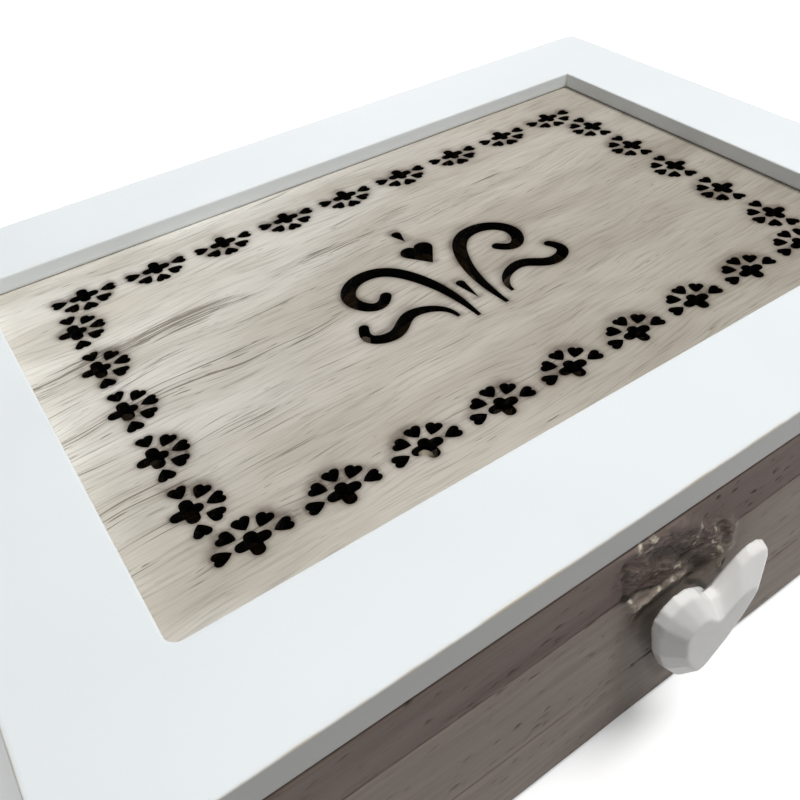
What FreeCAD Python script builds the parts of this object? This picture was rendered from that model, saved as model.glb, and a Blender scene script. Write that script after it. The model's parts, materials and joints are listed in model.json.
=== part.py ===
"""Tea bag drawer box: a small white chest with one rustic drawer and a fretwork panel set in its top.

Millimetres, +Z up, +X to the right seen from the front, the drawer pulls out towards -Y.
The origin is on the table, under the middle of the whole footprint with the knob included.
Each piece is one STEP file in parts/, named after the piece.
"""
import FreeCAD, Part
import math
import os

from FreeCAD import Vector

# Driving dimensions of the chest
chest_width = 242.0
chest_depth = 170.0  # front face of the drawer to the back
chest_height = 85.5  # underside of the base to the top surface
foot_pad_thickness = 1.5
foot_pad_size = 12.0
foot_pad_inset = 14.0  # edge of the base to the middle of a pad
corner_radius = 3.5
edge_softening = 0.4

# Boards of the chest
top_board = 8.0
side_board = 9.0
back_board = 6.0
base_board = 6.0

# Window and fretwork panel in the top
frame_border = 25.0
window_front_corner_radius = 2.4
window_back_corner_radius = 0.8
panel_recess = 4.6  # from the top surface down to the panel
panel_thickness = 3.4
panel_lap = 6.0  # how far the panel runs under the frame
panel_side_gap = 0.3
rebate_corner_radius = 3.0

# Fretwork: chains of small flowers, each a stubby cross for an eye and five hearts
row_flowers = 9
row_pitch = 18.88
row_distance = 46.3  # panel's middle to the front and back rows
column_flowers = 5
column_pitch = 16.6
column_distance = 82.0  # panel's middle to the left and right columns
flower_stretch = (1.065, 0.94)  # the flowers are drawn wider than deep, to fill the long panel
heart_width = 3.5
heart_length = 3.5
heart_lobe_radius = 1.0
heart_lobe_chords = 3  # the small cut-outs are cut as short chords
side_heart_reach = 5.9  # flower's middle to the middle of each heart
slant_heart_reach = 5.15
top_heart_reach = 5.15
heart_middle = 2.0  # tip of a heart to its middle
eye_reaches = (3.4, 2.65, 3.4, 3.6)  # right, inward, left and outward arms of the cross
eye_arm_half_width = 1.25
eye_arm_corner = 0.8

# Centre ornament: scrolls mirrored about one larger heart, right half given from the panel's middle
centre_heart_width = 9.0
centre_heart_length = 9.6
centre_heart_lobe_radius = 2.45
centre_heart_tip_y = 3.9
upper_drop = (16.2, 5.4, 1.3)  # point's y, length and end radius
lower_drop = (-14.6, 8.4, 1.15)
horn_spine = (
    (4.1, -20.0),
    (4.4, -9.5),
    (7.0, 0.8),
    (13.2, 8.8),
    (20.8, 8.6),
    (24.6, 2.8),
    (21.6, -2.4),
    (17.0, -0.4),
)
horn_widths = (1.0, 3.8, 2.8)  # start, middle and round end
horn_chords = 26
leaf_spine = ((8.0, -17.4), (11.2, -11.4), (17.2, -10.2), (23.2, -13.8), (28.2, -12.4), (27.8, -7.6))
leaf_widths = (0.9, 3.4, 2.4)
leaf_chords = 18
stroke_end_chords = 5

# Drawer
drawer_front_thickness = 9.0
drawer_board = 6.0
drawer_bottom_thickness = 3.0
drawer_bottom_rise = 3.0  # lower edge of the drawer's sides to its bottom
bottom_groove_depth = 3.0
divider_thickness = 3.0
divider_housing = 1.5  # depth of the slots that hold the dividers' ends
columns_of_tea = 3
front_top_gap = 1.0
front_side_gap = 0.5
front_bottom_gap = 0.3  # drawer front above the level of the base's underside
front_back_gap = 0.5  # drawer front to the edges of the chest's sides
side_clearance = 0.75
under_clearance = 0.4
over_clearance = 3.0
back_clearance = 2.0
divider_drop = 1.0  # top of the dividers below the drawer's top edges
joint_fit = 0.1  # slack of a board in its groove
front_line_heights = (25.7, 59.1)  # two fine grain lines, from the top surface down
front_line_width = 0.8
front_line_depth = 0.6

# Heart knob, with flat facets in rings about its table
knob_centre_drop = 48.0  # top surface down to the knob's screw
knob_turn = 3.0  # degrees clockwise seen from the front, where its screw came tight
knob_half_width = 16.7
knob_lobe_radius = 6.1
knob_lobe_rise = 13.9
knob_notch_rise = 12.4
knob_notch_width = 2.4
knob_tip_drop = 17.5
knob_tip_width = 3.0
knob_tip_corner = 1.7
knob_side_bulge = 1.9
lobe_facet_angles = (134, 103, 72, 41, 10, -22)
side_facets = 3
knob_neck_radius = 7.0
knob_neck_length = 2.4
knob_back_rise = 1.6  # end of the neck to the widest ring
knob_girdle = 6.3  # front of the drawer to the ring where the crown starts
knob_girdle_scale = 0.96
knob_projection = 9.5
knob_table_scale = 0.63

# Fasteners
brad_width = 1.2
brad_length = 18.0
front_brad_length = 11.0
brad_depth = 1.0  # heads are punched this far in and filled over
brads_per_joint = 3
front_brad_columns = 4
front_brad_inset = 15.0  # from the drawer's bottom and top edges
knob_screw_radius = 2.0
knob_screw_head_radius = 3.8
knob_screw_head_height = 2.4
washer_radius = 4.5
washer_thickness = 0.8
screw_hole_clearance = 0.2
insert_radius = 3.0
insert_length = 5.5
screw_end_gap = 1.0  # end of the knob's screw to the bottom of the insert

# Worked-out places
overall_depth = chest_depth + knob_projection
back_y = overall_depth / 2
front_y = back_y - chest_depth
base_z = foot_pad_thickness
base_top_z = base_z + base_board
top_z = base_z + chest_height
board_z = top_z - top_board  # underside of the top board
half_width = chest_width / 2
inner_half_width = half_width - side_board
side_middle_x = half_width - side_board / 2
sides_front_y = front_y + drawer_front_thickness + front_back_gap
back_inner_y = back_y - back_board
panel_centre = Vector(0, (front_y + back_y) / 2, 0)
window_length = chest_width - 2 * frame_border
window_depth = chest_depth - 2 * frame_border
panel_top_z = top_z - panel_recess
panel_z = panel_top_z - panel_thickness

drawer_half_width = inner_half_width - side_clearance
drawer_front_back_y = front_y + drawer_front_thickness
drawer_back_y = back_inner_y - back_clearance
drawer_z = base_top_z + under_clearance
drawer_top_z = board_z - over_clearance
drawer_bottom_z = drawer_z + drawer_bottom_rise
drawer_floor_z = drawer_bottom_z + drawer_bottom_thickness
tray_front_y = drawer_front_back_y + drawer_board
tray_back_y = drawer_back_y - drawer_board
tray_half_width = drawer_half_width - drawer_board
divider_top_z = drawer_top_z - divider_drop
tray_middle_y = (tray_front_y + tray_back_y) / 2
knob_z = top_z - knob_centre_drop


def box(x, y, z):
    """Block between pairs of limits along each axis."""
    size = (x[1] - x[0], y[1] - y[0], z[1] - z[0])
    return Part.makeBox(size[0], size[1], size[2], Vector(x[0], y[0], z[0]))


def rod(radius, length, start, direction):
    """Cylinder from a point along a direction."""
    return Part.makeCylinder(radius, length, start, direction)


def brad(surface_point, direction, length=brad_length):
    """Flat brad driven in from a surface, along one axis, and punched below it."""
    start = surface_point + direction * brad_depth
    end = start + direction * length
    limits = []
    for a, b, run in zip(start, end, direction):
        limits.append(sorted((a, b)) if run else (a - brad_width / 2, a + brad_width / 2))
    return box(*limits)


def upright_edges(shape, y_sign=0):
    """Vertical edges, only those in front of (-1) or behind (1) the middle where a sign is given."""
    middle = shape.BoundBox.Center
    found = []
    for edge in shape.Edges:
        run = edge.lastVertex().Point - edge.firstVertex().Point
        if abs(run.z) < 0.9 * shape.BoundBox.ZLength or math.hypot(run.x, run.y) > 1e-6:
            continue
        if (edge.CenterOfMass.y - middle.y) * y_sign >= 0:
            found.append(edge)
    return found


def rounded_slab(length, depth, z, radius, centre):
    """Flat slab with rounded corners, centred in plan."""
    slab = box(
        (centre.x - length / 2, centre.x + length / 2),
        (centre.y - depth / 2, centre.y + depth / 2),
        z,
    )
    return slab.makeFillet(radius, upright_edges(slab))


def export(name, shape):
    """Write one piece, or a group of like fasteners, to its STEP file."""
    shape.exportStep(os.path.join("parts", name + ".step"))


# Fretwork outlines


def arc(start, middle, end):
    return Part.Arc(start, middle, end).toShape()


def line(start, end):
    return Part.makeLine(start, end)


def mirrored(point):
    return Vector(-point.x, point.y, point.z)


def chords(points):
    """Closed outline of straight edges."""
    return Part.makePolygon(points + points[:1])


def lobe_span(width, length, lobe_radius):
    """Middle of a heart's right lobe, and the angles at which its round starts and ends."""
    lobe = Vector(width / 2 - lobe_radius, length - lobe_radius, 0)
    flare = math.asin(lobe_radius / lobe.Length)
    side_angle = math.atan2(lobe.y, lobe.x) - flare
    first = side_angle - math.pi / 2
    last = math.acos(-lobe.x / lobe_radius)
    return lobe, first, last


def lobe_point(lobe, radius, angle):
    return lobe + Vector(math.cos(angle), math.sin(angle), 0) * radius


def round_heart(width, length, lobe_radius):
    """Heart in plan with true arcs, its tip at the origin and its lobes towards +Y."""
    lobe, first, last = lobe_span(width, length, lobe_radius)
    side = lobe_point(lobe, lobe_radius, first)
    crown = lobe_point(lobe, lobe_radius, (first + last) / 2)
    notch = lobe_point(lobe, lobe_radius, last)
    tip = Vector(0, 0, 0)
    edges = [
        line(tip, side),
        arc(side, crown, notch),
        arc(notch, mirrored(crown), mirrored(side)),
        line(mirrored(side), tip),
    ]
    return Part.Wire(edges)


def small_heart(width, length, lobe_radius):
    """Corners of the same heart with each lobe in short chords, because there are so many of them."""
    lobe, first, last = lobe_span(width, length, lobe_radius)
    step = (last - first) / heart_lobe_chords
    right = [lobe_point(lobe, lobe_radius, first + index * step) for index in range(heart_lobe_chords + 1)]
    left = [mirrored(point) for point in reversed(right[:-1])]
    return [Vector(0, 0, 0)] + right + left


def eye_cross(reaches, half_width, corner):
    """Corners of a cross with stubby arms, each arm's end cut off at its corners."""
    points = []
    for quarter, reach in enumerate(reaches):
        arm = [(reach - corner, -half_width), (reach, corner - half_width)]
        arm += [(reach, half_width - corner), (reach - corner, half_width)]
        arm.append((half_width, half_width))
        points += turned([Vector(x, y, 0) for x, y in arm], 90 * quarter)
    return points


def drop_outline(length, radius):
    """Teardrop with its point at the origin and its round end towards +Y."""
    middle = Vector(0, length - radius, 0)
    flare = math.asin(radius / middle.y)
    side = Vector(radius * math.cos(flare), middle.y - radius * math.sin(flare), 0)
    point = Vector(0, 0, 0)
    edges = [
        line(point, side),
        arc(side, Vector(0, length, 0), mirrored(side)),
        line(mirrored(side), point),
    ]
    return Part.Wire(edges)


def stroke_outline(spine, widths, count):
    """Stroke along a smooth spine, in short chords: a fine start, a full middle and a round end."""
    start_width, full_width, end_width = widths
    curve = Part.BSplineCurve()
    curve.interpolate([Vector(x, y, 0) for x, y in spine])
    swell = full_width - (start_width + end_width) / 2
    left = []
    right = []
    for step in range(count + 1):
        share = step / count
        place = curve.FirstParameter + share * (curve.LastParameter - curve.FirstParameter)
        middle = curve.value(place)
        onward = Vector(*curve.tangent(place)[0])
        aside = Vector(-onward.y, onward.x, 0)
        width = start_width + (end_width - start_width) * share + swell * math.sin(math.pi * share)
        left.append(middle + aside * (width / 2))
        right.append(middle - aside * (width / 2))
    end = []
    for step in range(1, stroke_end_chords):
        turn = math.pi * step / stroke_end_chords
        end.append(middle + (aside * math.cos(turn) + onward * math.sin(turn)) * (end_width / 2))
    return chords(left + end + right[::-1])


def turned(points, turn, x=0, y=0):
    """Points turned about the origin by some degrees, then moved."""
    cosine = math.cos(math.radians(turn))
    sine = math.sin(math.radians(turn))
    return [
        Vector(x + point.x * cosine - point.y * sine, y + point.x * sine + point.y * cosine, 0)
        for point in points
    ]


def flower(x, y, turn):
    """Five hearts on the inward side of a cross; turn 0 looks towards +Y."""
    outlines = [eye_cross(eye_reaches, eye_arm_half_width, eye_arm_corner)]
    heart = small_heart(heart_width, heart_length, heart_lobe_radius)
    reaches = ((0, side_heart_reach), (45, slant_heart_reach), (90, top_heart_reach))
    reaches += ((135, slant_heart_reach), (180, side_heart_reach))
    for angle, reach in reaches:
        tip = reach - heart_middle
        across = tip * math.cos(math.radians(angle))
        up = tip * math.sin(math.radians(angle))
        outlines.append(turned(heart, angle - 90, across, up))
    stretch_x, stretch_y = flower_stretch
    wires = []
    for outline in outlines:
        corners = turned(outline, turn)
        wires.append(chords([Vector(x + p.x * stretch_x, y + p.y * stretch_y, 0) for p in corners]))
    return wires


def flower_border():
    """Rows along the front and back, columns along the left and right."""
    wires = []
    for index in range(row_flowers):
        x = (index - (row_flowers - 1) / 2) * row_pitch
        wires += flower(x, -row_distance, 0)
        wires += flower(x, row_distance, 180)
    for index in range(column_flowers):
        y = (index - (column_flowers - 1) / 2) * column_pitch
        wires += flower(-column_distance, y, -90)
        wires += flower(column_distance, y, 90)
    return wires


def raised(wire, y):
    """Outline moved up the panel."""
    wire.translate(Vector(0, y, 0))
    return wire


def centre_ornament():
    """Heart between mirrored horns and leaves, with a drop above and below."""
    heart = round_heart(centre_heart_width, centre_heart_length, centre_heart_lobe_radius)
    wires = [raised(heart, centre_heart_tip_y)]
    for point_y, length, radius in (upper_drop, lower_drop):
        wires.append(raised(drop_outline(length, radius), point_y))
    horn = stroke_outline(horn_spine, horn_widths, horn_chords)
    leaf = stroke_outline(leaf_spine, leaf_widths, leaf_chords)
    for stroke in (horn, leaf):
        wires.append(stroke)
        wires.append(stroke.mirror(Vector(0, 0, 0), Vector(1, 0, 0)))
    return wires


# Chest


def make_top_frame():
    """One board with a window, rounder in front, and a rebate under it for the panel."""
    board = rounded_slab(chest_width, chest_depth, (board_z, top_z), corner_radius, panel_centre)
    window = box(
        (panel_centre.x - window_length / 2, panel_centre.x + window_length / 2),
        (panel_centre.y - window_depth / 2, panel_centre.y + window_depth / 2),
        (board_z - 1, top_z + 1),
    )
    window = window.makeFillet(window_front_corner_radius, upright_edges(window, y_sign=-1))
    window = window.makeFillet(window_back_corner_radius, upright_edges(window, y_sign=1))
    rebate = rounded_slab(
        window_length + 2 * panel_lap,
        window_depth + 2 * panel_lap,
        (board_z - 1, panel_top_z),
        rebate_corner_radius,
        panel_centre,
    )
    board = board.cut(window).cut(rebate)
    rims = [edge for edge in board.Edges if edge.BoundBox.ZMin > top_z - 1e-6]
    board = board.makeChamfer(edge_softening, rims)
    return board.cut(Part.makeCompound(top_brads()))


def make_fret_panel():
    """Thin panel with the flower border and the centre ornament cut right through."""
    lap = 2 * (panel_lap - panel_side_gap)
    blank = rounded_slab(
        window_length + lap,
        window_depth + lap,
        (panel_z, panel_top_z),
        rebate_corner_radius - panel_side_gap,
        panel_centre,
    )
    underside = [face for face in blank.Faces if face.BoundBox.ZMax < panel_z + 1e-6][0]
    wires = [underside.OuterWire]
    for wire in flower_border() + centre_ornament():
        wire.translate(panel_centre + Vector(0, 0, panel_z))
        wires.append(wire)
    pierced = Part.makeFace(wires, "Part::FaceMakerBullseye")
    return pierced.extrude(Vector(0, 0, panel_thickness))


def board_joint_points(start, end, count):
    """Evenly spaced places along a joint, clear of its ends."""
    return [start + (end - start) * (index + 0.5) / count for index in range(count)]


def top_brads():
    """Brads down through the top board into the sides."""
    brads = []
    for x in (-side_middle_x, side_middle_x):
        for y in board_joint_points(sides_front_y, back_inner_y, brads_per_joint):
            brads.append(brad(Vector(x, y, top_z), Vector(0, 0, -1)))
    return brads


def base_brads():
    """Brads up through the base into the sides."""
    brads = []
    for x in (-side_middle_x, side_middle_x):
        for y in board_joint_points(sides_front_y, back_inner_y, brads_per_joint):
            brads.append(brad(Vector(x, y, base_z), Vector(0, 0, 1)))
    return brads


def back_brads():
    """Brads through the back into the ends of the sides."""
    brads = []
    for x in (-side_middle_x, side_middle_x):
        for z in board_joint_points(base_top_z, board_z, brads_per_joint):
            brads.append(brad(Vector(x, back_y, z), Vector(0, -1, 0)))
    return brads


def make_side(sign):
    """Side board between the base, the top board and the back."""
    x = sorted((sign * half_width, sign * inner_half_width))
    side = box(x, (sides_front_y, back_inner_y), (base_top_z, board_z))
    return side.cut(Part.makeCompound(top_brads() + base_brads() + back_brads()))


def make_back_panel():
    """Full-width back board with its outer corners rounded."""
    back = box((-half_width, half_width), (back_inner_y, back_y), (base_top_z, board_z))
    back = back.makeFillet(corner_radius, upright_edges(back, y_sign=1))
    return back.cut(Part.makeCompound(back_brads()))


def make_base_panel():
    """Base board under the sides and the back."""
    base = box((-half_width, half_width), (sides_front_y, back_y), (base_z, base_top_z))
    base = base.makeFillet(corner_radius, upright_edges(base, y_sign=1))
    return base.cut(Part.makeCompound(base_brads()))


def make_foot_pad(x_sign, y_sign):
    """Square felt pad stuck under one corner of the base."""
    x = x_sign * (half_width - foot_pad_inset)
    y = back_y - foot_pad_inset if y_sign > 0 else sides_front_y + foot_pad_inset
    half = foot_pad_size / 2
    return box((x - half, x + half), (y - half, y + half), (0, foot_pad_thickness))


# Drawer


def divider_xs():
    """Middles of the cross dividers, which part the drawer into equal columns."""
    clear = 2 * tray_half_width - (columns_of_tea - 1) * divider_thickness
    pitch = clear / columns_of_tea + divider_thickness
    first = -(columns_of_tea - 2) / 2 * pitch
    return [first + index * pitch for index in range(columns_of_tea - 1)]


def cross_slots():
    """Housings in the inner front and the back for the ends of the cross dividers."""
    half = (divider_thickness + joint_fit) / 2
    y = (tray_front_y - divider_housing, tray_back_y + divider_housing)
    return [box((x - half, x + half), y, (drawer_floor_z, drawer_top_z + 1)) for x in divider_xs()]


def long_slot():
    """Housings in the drawer's sides for the ends of the long divider."""
    half = (divider_thickness + joint_fit) / 2
    reach = tray_half_width + divider_housing
    y = (tray_middle_y - half, tray_middle_y + half)
    return box((-reach, reach), y, (drawer_floor_z, drawer_top_z + 1))


def bottom_groove():
    """Groove around the drawer's box that takes the edges of its bottom."""
    reach = tray_half_width + bottom_groove_depth
    y = (tray_front_y - bottom_groove_depth, tray_back_y + bottom_groove_depth)
    return box((-reach, reach), y, (drawer_bottom_z, drawer_floor_z + joint_fit))


def drawer_brads():
    """Brads through the drawer's sides into the ends of its inner front and back."""
    brads = []
    for sign in (-1, 1):
        for y in (drawer_front_back_y + drawer_board / 2, drawer_back_y - drawer_board / 2):
            for z in board_joint_points(drawer_floor_z, drawer_top_z, brads_per_joint):
                brads.append(brad(Vector(sign * drawer_half_width, y, z), Vector(-sign, 0, 0)))
    return brads


def front_brads():
    """Brads from inside the drawer through its inner front into the back of its front."""
    brads = []
    for x in board_joint_points(-tray_half_width, tray_half_width, front_brad_columns):
        for z in (drawer_z + front_brad_inset, drawer_top_z - front_brad_inset):
            start = Vector(x, tray_front_y, z)
            brads.append(brad(start, Vector(0, -1, 0), front_brad_length))
    return brads


def knob_bore():
    """Clearance hole for the knob's screw, with a counterbore inside the drawer for its head."""
    inward = Vector(0, -1, 0)
    head_room = washer_thickness + knob_screw_head_height + screw_hole_clearance
    start = Vector(0, tray_front_y, knob_z)
    hole = rod(knob_screw_radius + screw_hole_clearance, tray_front_y - front_y, start, inward)
    counterbore = rod(washer_radius + screw_hole_clearance, head_room, start, inward)
    return hole.fuse(counterbore)


def make_drawer_front():
    """Solid front board with two fine lines along its grain."""
    front = box(
        (-half_width + front_side_gap, half_width - front_side_gap),
        (front_y, drawer_front_back_y),
        (base_z + front_bottom_gap, board_z - front_top_gap),
    )
    front = front.makeFillet(corner_radius, upright_edges(front, y_sign=-1))
    cuts = [knob_bore()] + front_brads()
    for drop in front_line_heights:
        z = top_z - drop
        corners = [
            Vector(-half_width, front_y, z - front_line_width / 2),
            Vector(-half_width, front_y + front_line_depth, z),
            Vector(-half_width, front_y, z + front_line_width / 2),
        ]
        groove = Part.Face(Part.makePolygon(corners + corners[:1]))
        cuts.append(groove.extrude(Vector(chest_width, 0, 0)))
    return front.cut(Part.makeCompound(cuts))


def make_drawer_end(y, extra_cuts):
    """Inner front or back of the drawer, held between its sides."""
    end = box((-tray_half_width, tray_half_width), y, (drawer_z, drawer_top_z))
    cuts = [bottom_groove()] + cross_slots() + drawer_brads() + extra_cuts
    for cut in cuts:
        end = end.cut(cut)
    return end


def make_drawer_side(sign):
    """Side of the drawer over its full depth."""
    x = sorted((sign * drawer_half_width, sign * tray_half_width))
    side = box(x, (drawer_front_back_y, drawer_back_y), (drawer_z, drawer_top_z))
    for cut in [bottom_groove(), long_slot()] + drawer_brads():
        side = side.cut(cut)
    return side


def make_drawer_bottom():
    """Thin bottom that slides into the groove all round."""
    reach = tray_half_width + bottom_groove_depth - joint_fit
    y = (
        tray_front_y - bottom_groove_depth + joint_fit,
        tray_back_y + bottom_groove_depth - joint_fit,
    )
    return box((-reach, reach), y, (drawer_bottom_z, drawer_floor_z))


def divider_middle_z():
    """Height at which the crossed dividers' half-laps meet."""
    return (drawer_floor_z + divider_top_z) / 2


def make_long_divider():
    """Divider from side to side, slotted from above for the cross dividers."""
    half = divider_thickness / 2
    reach = tray_half_width + divider_housing
    y = (tray_middle_y - half, tray_middle_y + half)
    divider = box((-reach, reach), y, (drawer_floor_z, divider_top_z))
    slot_half = half + joint_fit / 2
    for x in divider_xs():
        slot = box((x - slot_half, x + slot_half), y, (divider_middle_z(), divider_top_z + 1))
        divider = divider.cut(slot)
    return divider


def make_cross_divider(x):
    """Divider from front to back, slotted from below for the long divider."""
    half = divider_thickness / 2
    y = (tray_front_y - divider_housing, tray_back_y + divider_housing)
    divider = box((x - half, x + half), y, (drawer_floor_z, divider_top_z))
    slot_half = half + joint_fit / 2
    slot_y = (tray_middle_y - slot_half, tray_middle_y + slot_half)
    return divider.cut(box((x - half, x + half), slot_y, (drawer_floor_z, divider_middle_z())))


# Knob


def knob_half_outline():
    """Corners of the heart's right half, from the notch round to the blunt tip."""
    lobe_x = knob_half_width - knob_lobe_radius
    corners = [Vector(knob_notch_width / 2, 0, knob_notch_rise)]
    for angle in lobe_facet_angles:
        turn = math.radians(angle)
        reach = Vector(math.cos(turn), 0, math.sin(turn)) * knob_lobe_radius
        corners.append(Vector(lobe_x, 0, knob_lobe_rise) + reach)
    shoulder = corners[-1]
    toe = Vector(knob_tip_width / 2 + knob_tip_corner, 0, knob_tip_corner - knob_tip_drop)
    down = toe - shoulder
    outward = Vector(-down.z, 0, down.x).normalize()
    for step in range(1, side_facets):
        share = step / side_facets
        bulge = 4 * knob_side_bulge * share * (1 - share)
        corners.append(shoulder + down * share + outward * bulge)
    corners.append(toe)
    corners.append(Vector(knob_tip_width / 2, 0, -knob_tip_drop))
    return corners


def knob_ring(scale, projection):
    """Heart outline at one distance in front of the drawer, as points in order."""
    right = knob_half_outline()
    left = [mirrored(corner) for corner in reversed(right)]
    middle = Vector(0, front_y - projection, knob_z)
    turn = FreeCAD.Rotation(Vector(0, 1, 0), knob_turn)
    return [middle + turn.multVec(corner) * scale for corner in right + left]


def neck_ring(projection):
    """Round neck with as many corners as the heart, each facing its corner there."""
    y = front_y - projection
    points = []
    for corner in knob_ring(1, 0):
        ray = Vector(corner.x, 0, corner.z - knob_z)
        ray.normalize()
        points.append(Vector(0, y, knob_z) + ray * knob_neck_radius)
    return points


def facet_band(back, front):
    """Flat triangles between two rings with equal numbers of corners."""
    faces = []
    count = len(back)
    for index in range(count):
        following = (index + 1) % count
        corners = (back[index], back[following], front[following], front[index])
        for triangle in ((0, 1, 2), (0, 2, 3)):
            points = [corners[pick] for pick in triangle]
            faces.append(Part.Face(Part.makePolygon(points + points[:1])))
    return faces


def make_knob():
    """Faceted glazed heart on a short round neck, bored from behind for its insert."""
    rings = [
        neck_ring(0),
        neck_ring(knob_neck_length),
        knob_ring(1, knob_neck_length + knob_back_rise),
        knob_ring(knob_girdle_scale, knob_girdle),
        knob_ring(knob_table_scale, knob_projection),
    ]
    faces = []
    for ring in (rings[0], rings[-1]):
        faces.append(Part.Face(Part.makePolygon(ring + ring[:1])))
    for back, front in zip(rings, rings[1:]):
        faces += facet_band(back, front)
    heart = Part.Solid(Part.Shell(faces))
    if heart.Volume < 0:
        heart.reverse()
    return heart.cut(rod(insert_radius, insert_length, Vector(0, front_y, knob_z), Vector(0, -1, 0)))


def make_knob_insert():
    """Threaded bush set in the back of the knob, drawn at its thread's bore."""
    start = Vector(0, front_y, knob_z)
    body = rod(insert_radius, insert_length, start, Vector(0, -1, 0))
    return body.cut(rod(knob_screw_radius, insert_length, start, Vector(0, -1, 0)))


def make_knob_washer():
    """Washer at the bottom of the counterbore."""
    seat = washer_seat()
    disc = rod(washer_radius, washer_thickness, seat, Vector(0, 1, 0))
    bore = rod(knob_screw_radius + screw_hole_clearance, washer_thickness, seat, Vector(0, 1, 0))
    return disc.cut(bore)


def washer_seat():
    """Centre of the counterbore's floor."""
    depth = washer_thickness + knob_screw_head_height + screw_hole_clearance
    return Vector(0, tray_front_y - depth, knob_z)


def make_knob_screw():
    """Pan-head machine screw from inside the drawer into the insert."""
    head_back = washer_seat() + Vector(0, washer_thickness, 0)
    head = rod(knob_screw_head_radius, knob_screw_head_height, head_back, Vector(0, 1, 0))
    rims = [edge for edge in head.Edges if edge.BoundBox.YMin > head_back.y + 1e-6]
    head = head.makeChamfer(knob_screw_head_height / 4, rims)
    length = head_back.y - front_y + insert_length - screw_end_gap
    return head.fuse(rod(knob_screw_radius, length, head_back, Vector(0, -1, 0)))


def main():
    os.makedirs("parts", exist_ok=True)
    export("top_frame", make_top_frame())
    export("fret_panel", make_fret_panel())
    export("left_side", make_side(-1))
    export("right_side", make_side(1))
    export("back_panel", make_back_panel())
    export("base_panel", make_base_panel())
    corners = ((-1, -1), (1, -1), (-1, 1), (1, 1))
    for number, (x_sign, y_sign) in enumerate(corners, start=1):
        export("foot_pad_" + str(number), make_foot_pad(x_sign, y_sign))
    export("top_brads", Part.makeCompound(top_brads()))
    export("base_brads", Part.makeCompound(base_brads()))
    export("back_brads", Part.makeCompound(back_brads()))

    export("drawer_front", make_drawer_front())
    inner_front_cuts = [knob_bore()] + front_brads()
    export("drawer_inner_front", make_drawer_end((drawer_front_back_y, tray_front_y), inner_front_cuts))
    export("drawer_back", make_drawer_end((tray_back_y, drawer_back_y), []))
    export("drawer_left_side", make_drawer_side(-1))
    export("drawer_right_side", make_drawer_side(1))
    export("drawer_bottom", make_drawer_bottom())
    export("long_divider", make_long_divider())
    for number, x in enumerate(divider_xs(), start=1):
        export("cross_divider_" + str(number), make_cross_divider(x))
    export("drawer_brads", Part.makeCompound(drawer_brads()))
    export("front_brads", Part.makeCompound(front_brads()))
    export("knob_heart", make_knob())
    export("knob_insert", make_knob_insert())
    export("knob_washer", make_knob_washer())
    export("knob_screw", make_knob_screw())


main()
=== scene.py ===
"""Finishes of a small tea chest: white painted case, fretwork top, rustic drawer front and heart knob."""

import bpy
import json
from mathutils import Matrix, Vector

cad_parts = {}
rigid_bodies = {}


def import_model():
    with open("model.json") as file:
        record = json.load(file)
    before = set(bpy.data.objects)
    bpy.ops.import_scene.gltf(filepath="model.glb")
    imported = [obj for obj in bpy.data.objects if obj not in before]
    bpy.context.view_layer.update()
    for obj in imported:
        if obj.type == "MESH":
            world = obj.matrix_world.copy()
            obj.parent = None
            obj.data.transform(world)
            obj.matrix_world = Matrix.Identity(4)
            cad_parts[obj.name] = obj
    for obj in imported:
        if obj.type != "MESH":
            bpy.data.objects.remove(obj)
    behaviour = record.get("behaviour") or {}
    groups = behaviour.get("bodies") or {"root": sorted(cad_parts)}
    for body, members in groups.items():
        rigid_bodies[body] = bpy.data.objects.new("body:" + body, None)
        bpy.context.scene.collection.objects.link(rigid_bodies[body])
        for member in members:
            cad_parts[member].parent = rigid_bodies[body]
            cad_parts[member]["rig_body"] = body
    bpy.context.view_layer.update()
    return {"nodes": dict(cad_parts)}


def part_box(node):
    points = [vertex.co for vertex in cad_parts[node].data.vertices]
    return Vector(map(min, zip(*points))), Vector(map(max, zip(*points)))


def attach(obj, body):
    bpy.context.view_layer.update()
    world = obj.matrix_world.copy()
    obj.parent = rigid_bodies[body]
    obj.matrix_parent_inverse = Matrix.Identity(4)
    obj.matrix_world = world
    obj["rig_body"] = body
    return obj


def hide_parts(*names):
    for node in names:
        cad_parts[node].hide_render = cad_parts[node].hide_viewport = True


bl_info = {
    "name": "Tea chest finishes",
    "version": (1, 0, 0),
    "blender": (4, 5, 0),
    "location": "View3D > Sidebar > Tea chest",
    "description": "Dresses a small tea chest with a fretwork top and one rustic drawer",
    "category": "Object",
}

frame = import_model()

import json
import math
from types import SimpleNamespace

import bmesh
import bpy
import numpy as np
from bpy.props import FloatProperty, FloatVectorProperty, IntProperty, PointerProperty
from mathutils import Matrix, Vector, geometry, kdtree, noise

MM = 0.001

# Boxes of the CAD nodes that are dressed again, in millimetres
FRAME_LOW, FRAME_HIGH = (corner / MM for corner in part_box("top_frame"))
PANEL_LOW, PANEL_HIGH = (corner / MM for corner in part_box("fret_panel"))
FRONT_LOW, FRONT_HIGH = (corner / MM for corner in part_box("drawer_front"))

PAINTED_BOARDS = ("left_side", "right_side", "back_panel", "base_panel")
DRAWER_BOARDS = (
    "drawer_inner_front", "drawer_back", "drawer_left_side", "drawer_right_side", "drawer_bottom",
    "long_divider", "cross_divider_1", "cross_divider_2",
)
FOOT_PADS = ("foot_pad_1", "foot_pad_2", "foot_pad_3", "foot_pad_4")
STEEL_FIXINGS = (
    "top_brads", "base_brads", "back_brads", "drawer_brads", "front_brads", "knob_washer", "knob_screw",
)

# What the drawer front's mesh tells its wood at each point: darkness, dark bottoms together with painted
# shade, painted glints, and gnarl
FRONT_LOOKS = ("dark", "pit_and_shade", "glint", "gnarl")

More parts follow.
